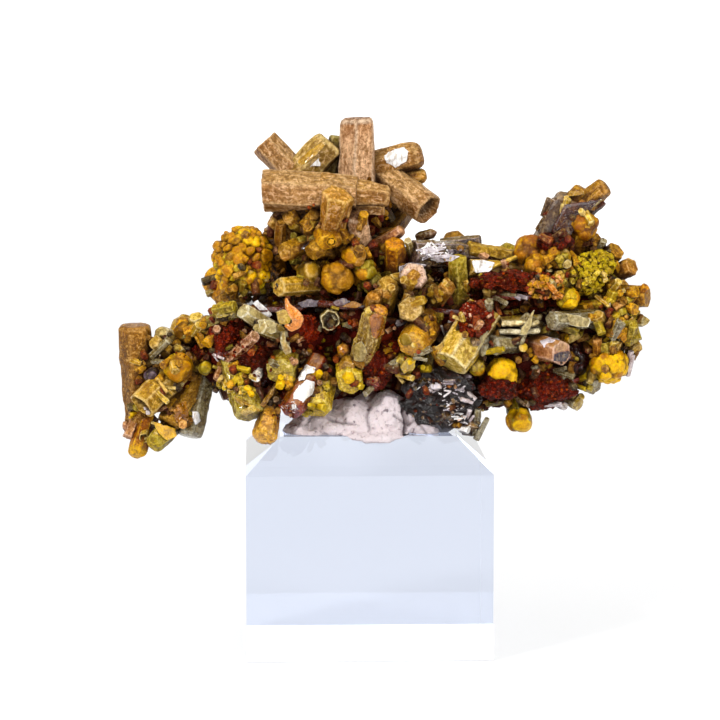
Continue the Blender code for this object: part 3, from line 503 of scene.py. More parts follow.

# Coloured crystal faces laid on the front, and white faces that are painted highlights: look, how far they stand out,
# outline in x and z
FACETS = (
    ("white", 0.12, ((2.5, 64.1), (3.1, 64.6), (5.1, 65.3), (5.6, 64.6), (5.4, 63.2), (4.4, 62.8), (4.0, 62.4),
                     (2.7, 63.2))),
    ("white", 0.12, ((-7.4, 62.6), (-6.1, 63.8), (-5.9, 62.8))),
    ("sand", 0.06, ((-9.2, 63.2), (-7.4, 64.7), (-5.6, 66.0), (-5.2, 65.4), (-6.6, 64.0), (-8.3, 62.8))),
    # The frost face on the barrel crystal below the crown is a painted highlight
    ("frost", 0.1, ((-8.4, 51.9), (-7.5, 52.7), (-7.3, 52.2), (-8.0, 51.5))),
    ("frost", 0.08, ((7.0, 51.6), (8.6, 51.9), (10.6, 51.8), (9.4, 51.3), (7.6, 51.1))),
    ("frost", 0.08, ((8.6, 50.8), (10.2, 51.0), (12.6, 50.8), (11.4, 50.1), (9.6, 49.9))),
    ("lavender", 0.08, ((10.8, 51.6), (12.8, 51.7), (13.2, 51.0), (11.6, 51.1))),
    ("white", 0.15, ((14.1, 50.2), (15.6, 50.3), (17.2, 49.8), (16.4, 48.7), (14.6, 48.5))),
    ("frost", 0.1, ((4.4, 49.4), (6.2, 50.0), (8.2, 49.6), (7.2, 48.5), (4.6, 48.1))),
    ("olive", 0.4, ((-19.8, 43.2), (-18.6, 44.5), (-16.9, 44.3), (-16.8, 43.4), (-18.4, 42.8), (-19.7, 42.7))),
    ("white", 1.7, ((-14.9, 44.7), (-14.2, 45.0), (-12.3, 43.1), (-12.7, 42.7), (-13.4, 43.0))),
    ("clear", 0.9, ((-14.2, 42.3), (-12.6, 42.5), (-11.8, 41.9), (-11.7, 40.9), (-12.5, 40.5), (-14.0, 41.3))),
    ("cream", 0.6, ((-11.9, 43.4), (-11.0, 43.7), (-10.0, 43.6), (-9.8, 42.6), (-10.0, 41.8), (-11.4, 41.8))),
    ("lavender", 0.4, ((-9.0, 44.5), (-7.6, 45.2), (-6.2, 44.9), (-6.4, 44.2), (-8.2, 44.0))),
    ("lavender", 0.3, ((-4.2, 44.8), (-2.9, 45.3), (-2.0, 44.8), (-2.6, 44.4), (-4.0, 44.3))),
    ("tan", 0.4, ((-3.0, 44.2), (-1.6, 44.9), (-0.3, 44.3), (-1.0, 44.0), (-2.6, 44.0))),
    ("white", 0.15, ((-7.9, 36.5), (-6.6, 36.0), (-6.7, 35.4), (-7.7, 35.2), (-8.1, 34.4), (-8.8, 34.2),
                     (-8.9, 34.8))),
    ("white", 0.15, ((-7.7, 34.4), (-6.6, 34.1), (-7.0, 32.6), (-8.5, 31.2), (-9.7, 31.5), (-9.5, 32.6),
                     (-8.7, 33.7))),
    ("white", 0.12, ((-9.8, 31.0), (-9.2, 31.1), (-9.2, 30.6), (-9.8, 30.3))),
    ("amber", 0.15, ((0.5, 42.9), (1.6, 43.3), (2.6, 42.6), (2.5, 40.6), (1.6, 39.8), (0.8, 40.2))),
    ("ash", 0.15, ((-1.6, 38.8), (-0.5, 39.6), (0.2, 38.0), (-0.3, 36.8), (-1.5, 36.9))),
    ("olive", 0.5, ((-3.1, 42.0), (-2.0, 42.2), (-1.5, 41.7), (-2.0, 41.2), (-3.0, 41.4))),
    ("yellow", 0.5, ((-28.2, 28.9), (-27.0, 28.5), (-25.3, 28.0), (-25.0, 26.9), (-26.2, 26.4), (-27.3, 27.0))),
    ("white", 0.15, ((-22.9, 30.2), (-22.1, 30.2), (-21.9, 28.9), (-22.6, 28.4), (-23.0, 29.3))),
    ("ginger", 0.12, ((-25.2, 31.2), (-23.8, 31.6), (-23.3, 29.6), (-24.2, 28.2), (-25.3, 29.2))),
    ("cream", 0.3, ((9.2, 38.6), (9.6, 37.2), (10.4, 36.9), (10.6, 38.0), (10.2, 39.4))),
    ("clear", 0.3, ((15.2, 38.2), (16.5, 41.0), (15.6, 40.6), (14.4, 38.2), (14.2, 36.4))),
    ("violet", 0.1, ((25.2, 37.7), (27.2, 38.1), (27.4, 37.3), (26.8, 36.7), (25.0, 36.7))),
    ("frost", 0.12, ((23.2, 39.4), (24.6, 39.9), (26.0, 39.6), (25.0, 38.9), (23.8, 38.5))),
    ("clear", 0.5, ((20.5, 40.3), (21.3, 42.0), (22.4, 43.7), (22.1, 41.7), (21.4, 40.2))),
    ("clear", 0.4, ((24.6, 43.4), (27.4, 43.0), (30.0, 42.4), (29.6, 41.1), (27.0, 41.6), (24.8, 42.4))),
    ("maroon", 0.4, ((24.6, 54.0), (26.4, 57.6), (29.6, 58.0), (31.2, 58.4), (28.6, 55.6), (27.0, 53.2))),
    ("smoke", 0.5, ((22.8, 53.6), (24.4, 57.2), (25.6, 58.6), (26.0, 57.0), (24.8, 54.0), (24.0, 52.8))),
    # The cream face on the dark slab is a painted highlight
    ("cream", 0.6, ((26.0, 56.2), (26.2, 58.7), (26.9, 58.8), (26.7, 56.6))),
    ("sand", 0.6, ((26.7, 58.6), (27.0, 59.4), (28.7, 59.4), (28.9, 58.9))),
    ("clear", 0.6, ((28.6, 56.2), (30.6, 58.1), (31.4, 58.3), (29.6, 56.7))),
    ("lemon", 0.3, ((4.6, 36.0), (5.6, 37.3), (6.7, 37.0), (6.4, 35.6), (5.2, 35.2))),
    ("frost", 0.2, ((8.7, 33.6), (10.0, 33.7), (9.7, 33.1), (8.8, 33.0))),
)

# Grains over a patch of the front: x, z, half width, half height, count, smallest, largest, looks
PATCHES = (
    (-18.3, 40.1, 2.6, 2.7, 200, 0.35, 0.75, "blood rust maroon blood rust"),
    (-14.8, 36.4, 2.4, 2.8, 110, 0.4, 0.8, "maroon blood maroon"),
    (-11.0, 30.2, 1.7, 1.7, 90, 0.35, 0.8, "blood maroon coal rose"),
    (-7.3, 41.2, 1.2, 1.8, 60, 0.4, 0.8, "rust blood rust"),
    (-7.1, 43.5, 1.0, 0.7, 25, 0.4, 0.7, "rust blood"),
    (-7.0, 56.9, 0.8, 0.9, 30, 0.3, 0.6, "amber rust amber rust"),
    (1.6, 36.0, 1.8, 2.6, 70, 0.4, 0.8, "blood maroon rust"),
    (3.4, 38.6, 1.2, 1.4, 40, 0.4, 0.7, "rust blood honey"),
    (14.6, 42.5, 2.4, 2.6, 170, 0.4, 0.8, "rust blood rust maroon rose"),
    (20.0, 47.4, 6.2, 1.3, 240, 0.4, 0.85, "maroon rust blood maroon"),
    (24.0, 46.6, 2.4, 1.6, 110, 0.4, 0.8, "amber rust salmon honey"),
    (15.0, 45.6, 1.8, 1.6, 80, 0.4, 0.8, "blood maroon rust"),
    (20.5, 44.6, 5.0, 0.8, 90, 0.3, 0.7, "maroon blood"),
    (24.0, 33.1, 3.8, 2.6, 300, 0.35, 0.8, "blood maroon rust blood"),
    (10.0, 32.0, 5.0, 4.0, 240, 0.4, 0.9, "coal coal coal smoke maroon"),
    (7.6, 33.6, 1.4, 0.5, 14, 0.2, 0.5, "frost white lavender"),
    (11.0, 33.2, 2.4, 0.9, 30, 0.2, 0.6, "frost white lavender frost"),
    (11.6, 31.0, 1.8, 0.9, 22, 0.2, 0.5, "frost lavender smoke frost"),
    (12.4, 28.8, 1.4, 1.2, 24, 0.2, 0.6, "frost white rose frost"),
    (9.6, 51.2, 2.8, 1.2, 55, 0.2, 0.6, "frost lavender white"),
    (-10.4, 30.2, 1.6, 1.4, 18, 0.15, 0.3, "frost white rose"),
    (25.0, 52.6, 1.8, 1.1, 60, 0.4, 0.9, "maroon blood coal"),
    (-24.4, 38.2, 1.6, 0.7, 24, 0.4, 0.7, "maroon blood walnut"),
    (-21.9, 38.2, 1.0, 0.9, 24, 0.4, 0.7, "maroon blood honey"),
    (-22.0, 40.4, 1.6, 2.0, 16, 0.8, 1.5, "honey cream umber sand"),
    (-18.5, 45.3, 2.6, 1.6, 22, 0.8, 1.7, "umber ash olive sand"),
    (-17.0, 34.4, 2.6, 1.8, 10, 0.8, 1.4, "lemon cream honey olive"),
    (30.0, 48.6, 3.2, 2.6, 50, 0.4, 0.8, "lime lemon lime"),
    (32.5, 43.5, 3.8, 3.0, 24, 1.2, 2.6, "olive sand lemon honey"),
    (33.0, 40.0, 3.2, 2.4, 16, 1.2, 2.6, "olive sand honey"),
    (6.4, 46.2, 5.6, 1.8, 30, 0.9, 1.8, "khaki sand tan"),
    (-7.0, 52.8, 4.6, 3.2, 14, 1.4, 2.4, "umber honey caramel tan"),
    (0.5, 53.5, 2.4, 2.6, 8, 0.9, 1.6, "walnut umber honey"),
    (-12.4, 47.8, 1.4, 2.4, 20, 0.4, 0.9, "coal walnut maroon"),
    (27.5, 36.8, 1.6, 2.2, 30, 0.4, 0.9, "coal maroon coal"),
    (-27.5, 36.0, 3.0, 2.6, 14, 0.8, 1.5, "sand umber honey"),
    (26.0, 48.6, 2.6, 2.4, 26, 0.8, 1.6, "sand ash honey olive"),
    (17.8, 33.2, 2.6, 1.6, 40, 0.4, 0.8, "maroon blood coal"),
)


def seen(place):
    """The true place of (x, z, y): a point at depth y on the sight line through (x, 0, z)."""
    x, z, y = place
    on_plane = Vector((x, 0.0, z))
    sight = on_plane - EYE
    return on_plane + sight * (y / sight.y)


def linear(colour):
    """Linear light from a 0 to 255 screen colour."""
    parts = []
    for value in colour:
        unit = value / 255.0
        parts.append(unit / 12.92 if unit <= 0.04045 else ((unit + 0.055) / 1.055) ** 2.4)
    return tuple(parts)


# Shader maths

class Socket:
    """One output of a shader node, with the arithmetic that materials are written in."""

    def __init__(self, tree, link):
        self.tree = tree
        self.link = link

    def _number(self, operation, left, right):
        return self.tree.node("ShaderNodeMath", {"operation": operation}, {0: left, 1: right})

    def __add__(self, other):
        return self._number("ADD", self, other)

    def __radd__(self, other):
        return self._number("ADD", other, self)

    def __sub__(self, other):
        return self._number("SUBTRACT", self, other)

    def __rsub__(self, other):
        return self._number("SUBTRACT", other, self)

    def __mul__(self, other):
        return self._number("MULTIPLY", self, other)

    def __rmul__(self, other):
        return self._number("MULTIPLY", other, self)

    def __pow__(self, other):
        return self._number("POWER", self, other)


class Tree:
    """A material's node tree with its Principled shader."""

    def __init__(self, name, **shader_values):
        self.material = bpy.data.materials.new(name)
        self.material.use_nodes = True
        self.nodes = self.material.node_tree.nodes
        self.shader = self.nodes["Principled BSDF"]
        for title, value in shader_values.items():
            self.shader.inputs[title.replace("_", " ").title().replace("Ior", "IOR")].default_value = value

    def connect(self, socket, value):
        if isinstance(value, Socket):
            self.material.node_tree.links.new(value.link, socket)
        else:
            socket.default_value = value

    def node(self, kind, settings, values, output=0):
        """A node of any kind: its settings first, then its sockets' values or links."""
        made = self.nodes.new(kind)
        for title, value in settings.items():
            setattr(made, title, value)
        for title, value in values.items():
            self.connect(made.inputs[title], value)
        return Socket(self, made.outputs[output])

    def attribute(self, name, output="Color"):
        return self.node("ShaderNodeAttribute", {"attribute_name": name}, {}, output)

    def place(self):
        return self.node("ShaderNodeTexCoord", {}, {}, "Object")

    def noise(self, vector, scale, detail=3.0, roughness=0.5, distortion=0.0):
        return self.node("ShaderNodeTexNoise", {}, {
            "Vector": vector, "Scale": scale, "Detail": detail, "Roughness": roughness, "Distortion": distortion})

    def stretch(self, vector, scale):
        return self.node("ShaderNodeMapping", {}, {"Vector": vector, "Scale": scale})

    def step(self, value, low, high):
        """0 at low and 1 at high, smooth between them."""
        return self.node("ShaderNodeMapRange", {"interpolation_type": "SMOOTHSTEP"}, {
            "Value": value, "From Min": low, "From Max": high})

    def mix(self, factor, first, second, blend="MIX"):
        return self.node("ShaderNodeMix", {"data_type": "RGBA", "blend_type": blend}, {
            "Factor": factor, 6: first, 7: second}, 2)

    def bump(self, height, distance, strength=1.0):
        return self.node("ShaderNodeBump", {}, {
            "Height": height, "Distance": distance, "Strength": strength})

    def feed(self, title, value):
        self.connect(self.shader.inputs[title], value)


def crystal_material(name, roughness, mottle, stain, streak=0.35, pale=(0.9, 0.68, 0.36), saturation=1.2,
                     **shader_values):
    """Crystal faces: each crystal's own colour, paler edges painted as highlights, mottling, streaks, and painted shade
    in the hollows that ambient occlusion finds.
    """
    tree = Tree(name, **shader_values)
    grain = tree.attribute("grain", "Vector")
    rim = tree.attribute("rim", "Fac")
    streaks = tree.noise(tree.stretch(grain, (2.4, 0.7, 1.0)), 1.0, 5.0, 0.6)
    blotch = tree.noise(tree.place(), 700.0, 4.0, 0.6, 0.4)
    pits = tree.noise(tree.place(), 2100.0, 4.0, 0.7, 0.5)
    speckle = tree.noise(tree.place(), 4200.0, 2.0, 0.6)
    patch = tree.noise(tree.place(), 240.0, 4.0, 0.6)
    colour = tree.attribute("tint")
    darker = tree.mix(1.0, colour, (0.34, 0.24, 0.11, 1.0), "MULTIPLY")
    paler = tree.mix(0.4, tree.mix(1.0, colour, (1.7, 1.6, 1.35, 1.0), "MULTIPLY"), (*pale, 1.0))
    mixed = tree.mix(tree.step(blotch, 0.5, 0.64) * mottle * 0.6, colour, darker)
    mixed = tree.mix(tree.step(pits, 0.5, 0.6) * mottle, mixed, darker)
    mixed = tree.mix(tree.step(pits, 0.47, 0.38) * mottle, mixed, paler)
    mixed = tree.mix(tree.step(streaks, 0.51, 0.62) * streak, mixed, darker)
    mixed = tree.mix(tree.step(streaks, 0.45, 0.36) * streak, mixed, paler)
    mixed = tree.mix(tree.step(patch, 0.54, 0.66) * stain, mixed, (*linear((120, 58, 10)), 1.0))
    # Painted highlight: where the rim share is high, the face takes the look's pale highlight colour
    mixed = tree.mix(rim * (0.35 + tree.step(pits, 0.56, 0.44) * 0.6), mixed, tree.attribute("edge_highlight"))
    # Painted shade: hollows found by ambient occlusion are darkened towards dark brown and made rougher
    open_air = tree.node("ShaderNodeAmbientOcclusion", {"samples": 4}, {"Distance": 0.0026}, "AO")
    painted_hollow_shade = tree.step(open_air, 0.72, 0.2)
    mixed = tree.mix(painted_hollow_shade * 0.9, mixed, (*linear((40, 12, 4)), 1.0))
    mixed = tree.node("ShaderNodeHueSaturation", {}, {"Saturation": saturation, "Color": mixed})
    tree.feed("Base Color", mixed)
    tree.feed("Roughness", roughness + speckle * 0.2 + painted_hollow_shade * 0.3)
    height = streaks * streak * 0.8 + pits * mottle * 1.4 + speckle * 0.35
    tree.feed("Normal", tree.bump(height, 0.0004, 0.7))
    return tree.material


def core_material():
    """The rusty middle: maroon and near black, with granular rust."""
    tree = Tree("rusty_matrix", specular_ior_level=0.08, specular_tint=(1.0, 0.6, 0.4, 1.0))
    place = tree.place()
    patch = tree.noise(place, 170.0, 4.0, 0.6)
    grit = tree.noise(place, 1400.0, 4.0, 0.7)
    colour = tree.attribute("tint")
    colour = tree.mix(tree.step(patch, 0.52, 0.68) * 0.7, colour, (*linear((112, 34, 12)), 1.0))
    colour = tree.mix(tree.step(grit, 0.55, 0.75) * 0.5, colour, (*linear((124, 44, 20)), 1.0))
    tree.feed("Base Color", colour)
    tree.feed("Roughness", 0.3 + grit * 0.5)
    tree.feed("Normal", tree.bump(grit, 0.0006))
    return tree.material


def putty_material():
    tree = Tree("mineral_putty", subsurface_weight=0.05)
    place = tree.place()
    broad = tree.noise(place, 220.0, 3.0, 0.55)
    grit = tree.noise(place, 1500.0, 3.0, 0.7)
    specks = tree.noise(place, 900.0, 1.0, 0.4)
    painted_crease_shade = tree.attribute("painted_crease_shade", "Fac")
    colour = tree.mix(broad, (*linear((204, 186, 188)), 1.0), (*linear((228, 214, 215)), 1.0))
    colour = tree.mix(tree.step(grit, 0.54, 0.68) * 0.7, colour, (*linear((140, 120, 126)), 1.0))
    colour = tree.mix(tree.step(specks, 0.68, 0.74) * 0.8, colour, (*linear((86, 68, 76)), 1.0))
    # Painted shade: the pressed creases are darkened towards a dark mauve
    colour = tree.mix(painted_crease_shade, colour, (*linear((72, 58, 64)), 1.0))
    tree.feed("Base Color", colour)
    tree.feed("Roughness", 0.55 + grit * 0.3)
    tree.feed("Normal", tree.bump(broad * 0.5 + grit * 0.7, 0.0006, 0.9))
    return tree.material


def acrylic_material():
    tree = Tree("clear_acrylic", transmission_weight=1.0, ior=1.49, roughness=0.02)
    scratch = tree.noise(tree.stretch(tree.place(), (300.0, 300.0, 40.0)), 1.0, 2.0, 0.5)
    tree.feed("Base Color", (0.985, 0.992, 1.0, 1.0))
    tree.feed("Roughness", tree.step(scratch, 0.72, 0.85) * 0.15)
    absorb = tree.nodes.new("ShaderNodeVolumeAbsorption")
    absorb.inputs["Color"].default_value = (0.07, 0.22, 0.57, 1.0)
    absorb.inputs["Density"].default_value = 12.0
    output = tree.nodes["Material Output"]
    tree.material.node_tree.links.new(absorb.outputs["Volume"], output.inputs["Volume"])
    return tree.material


def floor_material():
    tree = Tree("pale_floor", roughness=0.5, specular_ior_level=0.2, emission_strength=0.68)
    tree.feed("Emission Color", (1.0, 1.0, 1.0, 1.0))
    cloud = tree.noise(tree.place(), 6.0, 2.0, 0.5)
    tree.feed("Base Color", tree.mix(cloud, (0.30, 0.302, 0.306, 1.0), (0.32, 0.322, 0.325, 1.0)))
    return tree.material


# Meshes

# Where the points lie along one side of a crystal's outline, from corner to corner
SIDE_POINTS = {
    0: (0.0,),
    1: (0.08,),
    2: (0.04, 0.2, 0.5, 0.8, 0.96),
    3: (0.02, 0.07, 0.15, 0.25, 0.36, 0.47, 0.58, 0.69, 0.8, 0.9, 0.97),
}
# The far end's rings: share of the thickness across, height over the end as a share of the thickness
ENDS = {
    "flat": ((1.0, -0.05), (0.98, -0.02), (0.94, 0.0), (0.72, 0.0), (0.48, 0.0), (0.24, 0.0)),
    "worn": ((1.0, -0.16), (0.97, -0.09), (0.91, -0.035), (0.79, -0.005), (0.56, 0.0), (0.28, 0.01)),
    "dome": ((1.0, -0.34), (0.95, -0.21), (0.84, -0.10), (0.66, -0.03), (0.44, 0.0), (0.2, 0.01)),
    "hollow": ((1.0, -0.07), (0.96, -0.01), (0.86, 0.0), (0.77, -0.07), (0.64, -0.22), (0.35, -0.32)),
    "point": ((1.0, -0.55), (0.93, -0.46), (0.7, -0.30), (0.45, -0.16), (0.2, -0.05), (0.08, -0.01)),
}
FEW_RINGS = (0, 2, 4)
# A crust whose half width times half height is under this, in square mm, is divided less finely
SMALL_CRUST = 3.6


class Cluster:
    """Many crystals gathered in one mesh, with their colours and their grain."""

    def __init__(self, name, surface):
        self.name = name
        self.surface = surface
        self.points = []
        self.faces = []
        self.tints = []
        self.edges = []
        self.grains = []
        self.highlight_shares = []
        self.count = 0
        self.rng = np.random.default_rng(sum(map(ord, name)))

    def add(self, points, faces, tints, edges, grains, highlight_shares):
        self.faces += [tuple(corner + self.count for corner in face) for face in faces]
        self.count += len(points)
        self.points.append(points)
        self.tints.append(tints)
        self.edges.append(edges)
        self.grains.append(grains)
        self.highlight_shares.append(highlight_shares)

    def build(self, smooth_to=32.0):
        mesh = bpy.data.meshes.new(self.name)
        points = np.concatenate(self.points)
        mesh.from_pydata((points * MM).tolist(), [], self.faces)
        for title, kind, key, rows in (
            ("tint", "FLOAT_COLOR", "color", with_alpha(np.concatenate(self.tints))),
            ("edge_highlight", "FLOAT_COLOR", "color", with_alpha(np.concatenate(self.edges))),
            ("grain", "FLOAT_VECTOR", "vector", np.concatenate(self.grains)),
            ("rim", "FLOAT", "value", np.concatenate(self.highlight_shares)),
        ):
            layer = mesh.attributes.new(title, kind, "POINT")
            layer.data.foreach_set(key, np.ascontiguousarray(rows, dtype=np.float32).ravel())
        mesh.materials.append(self.surface)
        mesh.shade_smooth()
        mesh.set_sharp_from_angle(angle=radians(smooth_to))
        piece = bpy.data.objects.new(self.name, mesh)
        bpy.context.scene.collection.objects.link(piece)
        settle(piece, "specimen")
        ground.take(points, self.faces)


class Ground:
    """What has been grown so far, for sight lines to meet."""

    def __init__(self):
        self.points = []
        self.faces = []
        self.tree = None

    def take(self, points, faces):
        base = len(self.points)
        self.points += points.tolist()
        self.faces += [tuple(corner + base for corner in face) for face in faces]
        self.tree = None

    def meet(self, start, way):
        if self.tree is None:
            self.tree = BVHTree.FromPolygons(self.points, self.faces)
        place, normal, _, _ = self.tree.ray_cast(start, way)
        return place, normal

    def front(self, x, z):
        """Where the sight line through (x, z) meets the specimen, and its outward direction there."""
        return self.meet(EYE, (Vector((x, 0.0, z)) - EYE).normalized())


ground = Ground()


# Faces that look up are painted a little paler and greyer: a painted sheen of the bright room above them
TOP_SHEEN_SHARE = 0.3
TOP_SHEEN_COLOUR = np.array(linear((172, 146, 82)))


def with_alpha(colours):
    return np.hstack((colours, np.ones((len(colours), 1))))


def settle(piece, node):
    """Rides the piece on the one body, in place of the frame's node."""
    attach(piece, "root")
    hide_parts(node)
    return piece


def wobble(points, wavelength, amount, rng):
    """Smooth random pushes, from a few waves in random directions."""
    total = np.zeros_like(points)
    for _ in range(6):
        way = rng.normal(size=3)
        way *= 2.0 * pi / (np.linalg.norm(way) * wavelength * rng.uniform(0.6, 1.6))
        total += np.sin(points @ way + rng.uniform(0.0, 2.0 * pi))[:, None] * rng.normal(size=3)
    return points + total * amount / 6 ** 0.5


def cross_section(detail, rng):
    """Points round an uneven hexagon, their outward directions, nearness to a corner, side and way round."""
    angles = [(k + rng.uniform(-0.09, 0.09)) * pi / 3.0 for k in range(6)]
    corners = [np.array((cos(angle), sin(angle))) * rng.uniform(0.9, 1.02) for angle in angles]
    outline = []
    outward = []
    nearness = []
    sides = []
    for side in range(6):
        start = corners[side]
        finish = corners[(side + 1) % 6]
        middle = (side + 0.5) * pi / 3.0
        out = np.array((cos(middle), sin(middle)))
        ledge = rng.uniform(0.0, 0.055) if detail > 1 else 0.0
        ledge_start, ledge_end = sorted(rng.uniform(0.05, 0.95, 2))
        for part in SIDE_POINTS[detail]:
            raised = ledge if ledge_start < part < ledge_end else 0.0
            outline.append(start * (1.0 - part) + finish * part + out * raised)
            outward.append(out)
            nearness.append(max(0.0, 1.0 - min(part, 1.0 - part) / 0.14))
            sides.append(side)
    outline = np.array(outline)
    steps = np.linalg.norm(np.roll(outline, -1, axis=0) - outline, axis=1)
    around = np.concatenate(([0.0], np.cumsum(steps)[:-1]))
    return outline, np.array(outward), np.array(nearness), np.array(sides), around


def tube_faces(rings, count):
    """Quads between rings of points, a fan on the last ring and a lid on the first."""
    faces = []
    for level in range(rings - 1):
        base = level * count
        for k in range(count):
            after = (k + 1) % count
            faces.append((base + k, base + after, base + count + after, base + count + k))
    base = (rings - 1) * count
    faces += [(base + k, base + (k + 1) % count, rings * count) for k in range(count)]
    faces.append(tuple(range(count - 1, -1, -1)))
    return faces


def crystal(cluster, foot, tip, width, turn=0.0, look="caramel", end="flat", widening=0.95, detail=2):
    """One six-sided crystal with stepped faces, worn edges and a finished far end."""
    rng = cluster.rng
    axis = tip - foot
    length = axis.length
    turned = axis.to_track_quat("Z", "X").to_matrix() @ Matrix.Rotation(radians(turn), 3, "Z")
    outline, outward, nearness, sides, around = cross_section(detail, rng)
    count = len(outline)
    radius = width / 2.0
    end_rings = ENDS[end] if detail > 1 else [ENDS[end][k] for k in FEW_RINGS]
    body_length = length + end_rings[0][1] * width
    bands = max(2, min(18, int(length / width * (detail * 2)))) if detail else 1
    rings = []
    highlight_shares = []
    for level in range(bands + 1):
        part = level / bands
        scale = 1.0 + (widening - 1.0) * part + 0.02 * sin(pi * part)
        wear = rng.uniform(0.0, 0.05, count) * nearness if detail > 1 else 0.0
        flat = outline * scale * radius * (1.0 - np.asarray(wear).reshape(-1, 1))
        flat = flat + rng.normal(0.0, 0.006 * width, 2)
        rings.append(np.column_stack((flat, np.full(count, part * body_length))))
        # Painted highlight: sides near a corner, and the outer rings of the end, take a share of the pale highlight
        # colour
        highlight_shares.append(nearness * 0.8)
    last = rings[-1][:, :2].copy()
    middle = last.mean(axis=0)
    slope = rng.normal(0.0, 0.02, 2)
    for scale, height in end_rings[1:]:
        flat = middle + (last - middle) * scale
        rings.append(np.column_stack((flat, length + height * width + (flat - middle) @ slope)))
        highlight_shares.append(np.full(count, 0.75 if scale > 0.9 else 0.1))
    points = np.concatenate(rings + [np.array(((*middle, length + end_rings[-1][1] * width),))])
    if detail > 1:
        points = wobble(points, 1.3 * width, 0.02 * width, rng)
        points = wobble(points, 0.8, 0.03, rng)
    body, far, edge_highlight = [np.array(linear(colour)) for colour in LOOKS[look]]
    along = np.clip(points[:, 2] / length, 0.0, 1.0)
    start = max(0.3, 1.0 - 0.7 * width / length)
    blend = np.clip((along - start) / (1.0 - start), 0.0, 1.0)[:, None]
    # Painted light: each side gets its own brightness, sides that look up are brighter as if lit from above, and the
    # end gets its own brightness
    upward = outward @ np.array(turned)[2, :2]
    side_light = rng.uniform(0.8, 1.15, 6)[sides] * (1.0 + 0.3 * upward)
    light = np.concatenate([side_light] * (bands + 1)
                           + [np.full(count, rng.uniform(0.85, 1.15))] * (len(end_rings) - 1) + [np.ones(1)])
    # Painted sheen: sides that look up are mixed towards a pale khaki, as the sheen of the bright room above
    top_sheen = np.concatenate([np.clip(upward, 0.0, 1.0)] * len(rings) + [np.zeros(1)])[:, None] * TOP_SHEEN_SHARE
    tints = (body * (1.0 - blend) + far * blend) * light[:, None] * (1.0 - top_sheen) + top_sheen * TOP_SHEEN_COLOUR * light[:, None]
    # Painted shade: the inner rings at the bottom of a hollow end are darkened by three quarters, as shade in the cup
    if end == "hollow":
        inner = np.zeros(len(points))
        inner[(bands + 4) * count:] = 1.0
        tints = tints * (1.0 - 0.75 * inner[:, None])
    edges = np.tile(edge_highlight, (len(points), 1))
    shift = rng.uniform(0.0, 50.0)
    sweep = np.concatenate([around * radius] * len(rings) + [np.zeros(1)])
    grains = np.column_stack((sweep + shift, points[:, 2] + shift, np.full(len(points), shift)))
    world = points @ np.array(turned).T + np.array(foot)
    cluster.add(world, tube_faces(len(rings), count), tints, edges, grains,
                np.concatenate(highlight_shares + [np.array((0.1,))]))


def sphere_directions(count, rng):
    """Even directions over a sphere, slightly shaken."""
    turns = np.arange(count) * pi * (3.0 - 5.0 ** 0.5)
    heights = 1.0 - 2.0 * (np.arange(count) + 0.5) / count
    flat = np.sqrt(1.0 - heights * heights)
    rows = np.column_stack((flat * np.cos(turns), flat * np.sin(turns), heights))
    rows += rng.normal(0.0, 0.75 / count ** 0.5, rows.shape)
    return rows / np.linalg.norm(rows, axis=1)[:, None]


def unit_sphere(subdivisions):
    builder = bmesh.new()
    bmesh.ops.create_icosphere(builder, subdivisions=subdivisions, radius=1.0)
    points = np.array([vertex.co[:] for vertex in builder.verts])
    faces = [tuple(vertex.index for vertex in face.verts) for face in builder.faces]
    builder.free()
    return points, faces


SPHERES = {subdivisions: unit_sphere(subdivisions) for subdivisions in (1, 3, 4, 5, 6)}


def ball_fineness(radius, heads):
    """How often a ball's sphere is divided: more for many heads and for a large ball."""
    if heads > 100:
        return 6
    if heads > 50 or radius > 2.2:
        return 5
    return 4 if radius > 1.4 else 3


def ball(cluster, centre, radius, heads, cleft, looks, subdivisions=5):
    """A ball of rounded heads grown together, with clefts between them."""
    rng = cluster.rng
    shell, faces = SPHERES[subdivisions]
    ways = sphere_directions(heads, rng)
    shaken = wobble(shell, 1.2, 0.06, rng)
    shaken /= np.linalg.norm(shaken, axis=1)[:, None]
    spans = np.arccos(np.clip(shaken @ ways.T, -1.0, 1.0)) / rng.uniform(0.65, 1.35, heads)
    nearest = spans.argmin(axis=1)
    far = np.clip(spans.min(axis=1) * heads ** 0.5 / 2.3, 0.0, 1.0)
    bulge = 1.0 - far ** 3
    reach = rng.uniform(0.94, 1.04, heads)[nearest]
    points = shell * (radius * (1.0 - cleft + cleft * 1.2 * bulge) * reach)[:, None]
    points = wobble(points, radius * 1.3, radius * 0.03, rng)
    points = wobble(points, 0.6, 0.035, rng)
    choices = [LOOKS[looks[k % len(looks)]] for k in rng.permutation(heads)]
    tints = np.array([linear(choice[0]) for choice in choices])[nearest]
    tints = tints * rng.uniform(0.85, 1.15, heads)[nearest][:, None]
    # Painted shade in the clefts: each head darkens towards its clefts, down to 0.45 of its colour
    tints = tints * (0.45 + 0.55 * np.clip(bulge * 2.0 - 0.4, 0.0, 1.0))[:, None]
    edges = np.array([linear(choice[2]) for choice in choices])[nearest]
    # Painted highlight: a pale ring round each head takes the pale highlight colour
    highlight_shares = 0.7 * np.exp(-((far - 0.62) / 0.14) ** 2)
    cluster.add(points + np.array(centre), faces, tints, edges, points + rng.uniform(0.0, 50.0), highlight_shares)


def grain(cluster, centre, size, look):
    """A tiny rough grain."""
    rng = cluster.rng
    shell, faces = SPHERES[1]
    points = shell * size * 0.5 * rng.uniform(0.7, 1.3, 3) * rng.uniform(0.75, 1.15, (len(shell), 1))
    points = points @ np.array(Matrix.Rotation(rng.uniform(0.0, pi), 3, Vector(rng.normal(size=3)))).T
    body, _, edge_highlight = [np.array(linear(colour)) for colour in LOOKS[look]]
    tints = np.tile(body * rng.uniform(0.7, 1.3), (len(points), 1))
    cluster.add(points + np.array(centre), faces, tints, np.tile(edge_highlight, (len(points), 1)),
                points + rng.uniform(0.0, 50.0), rng.uniform(0.0, 0.5, len(points)))


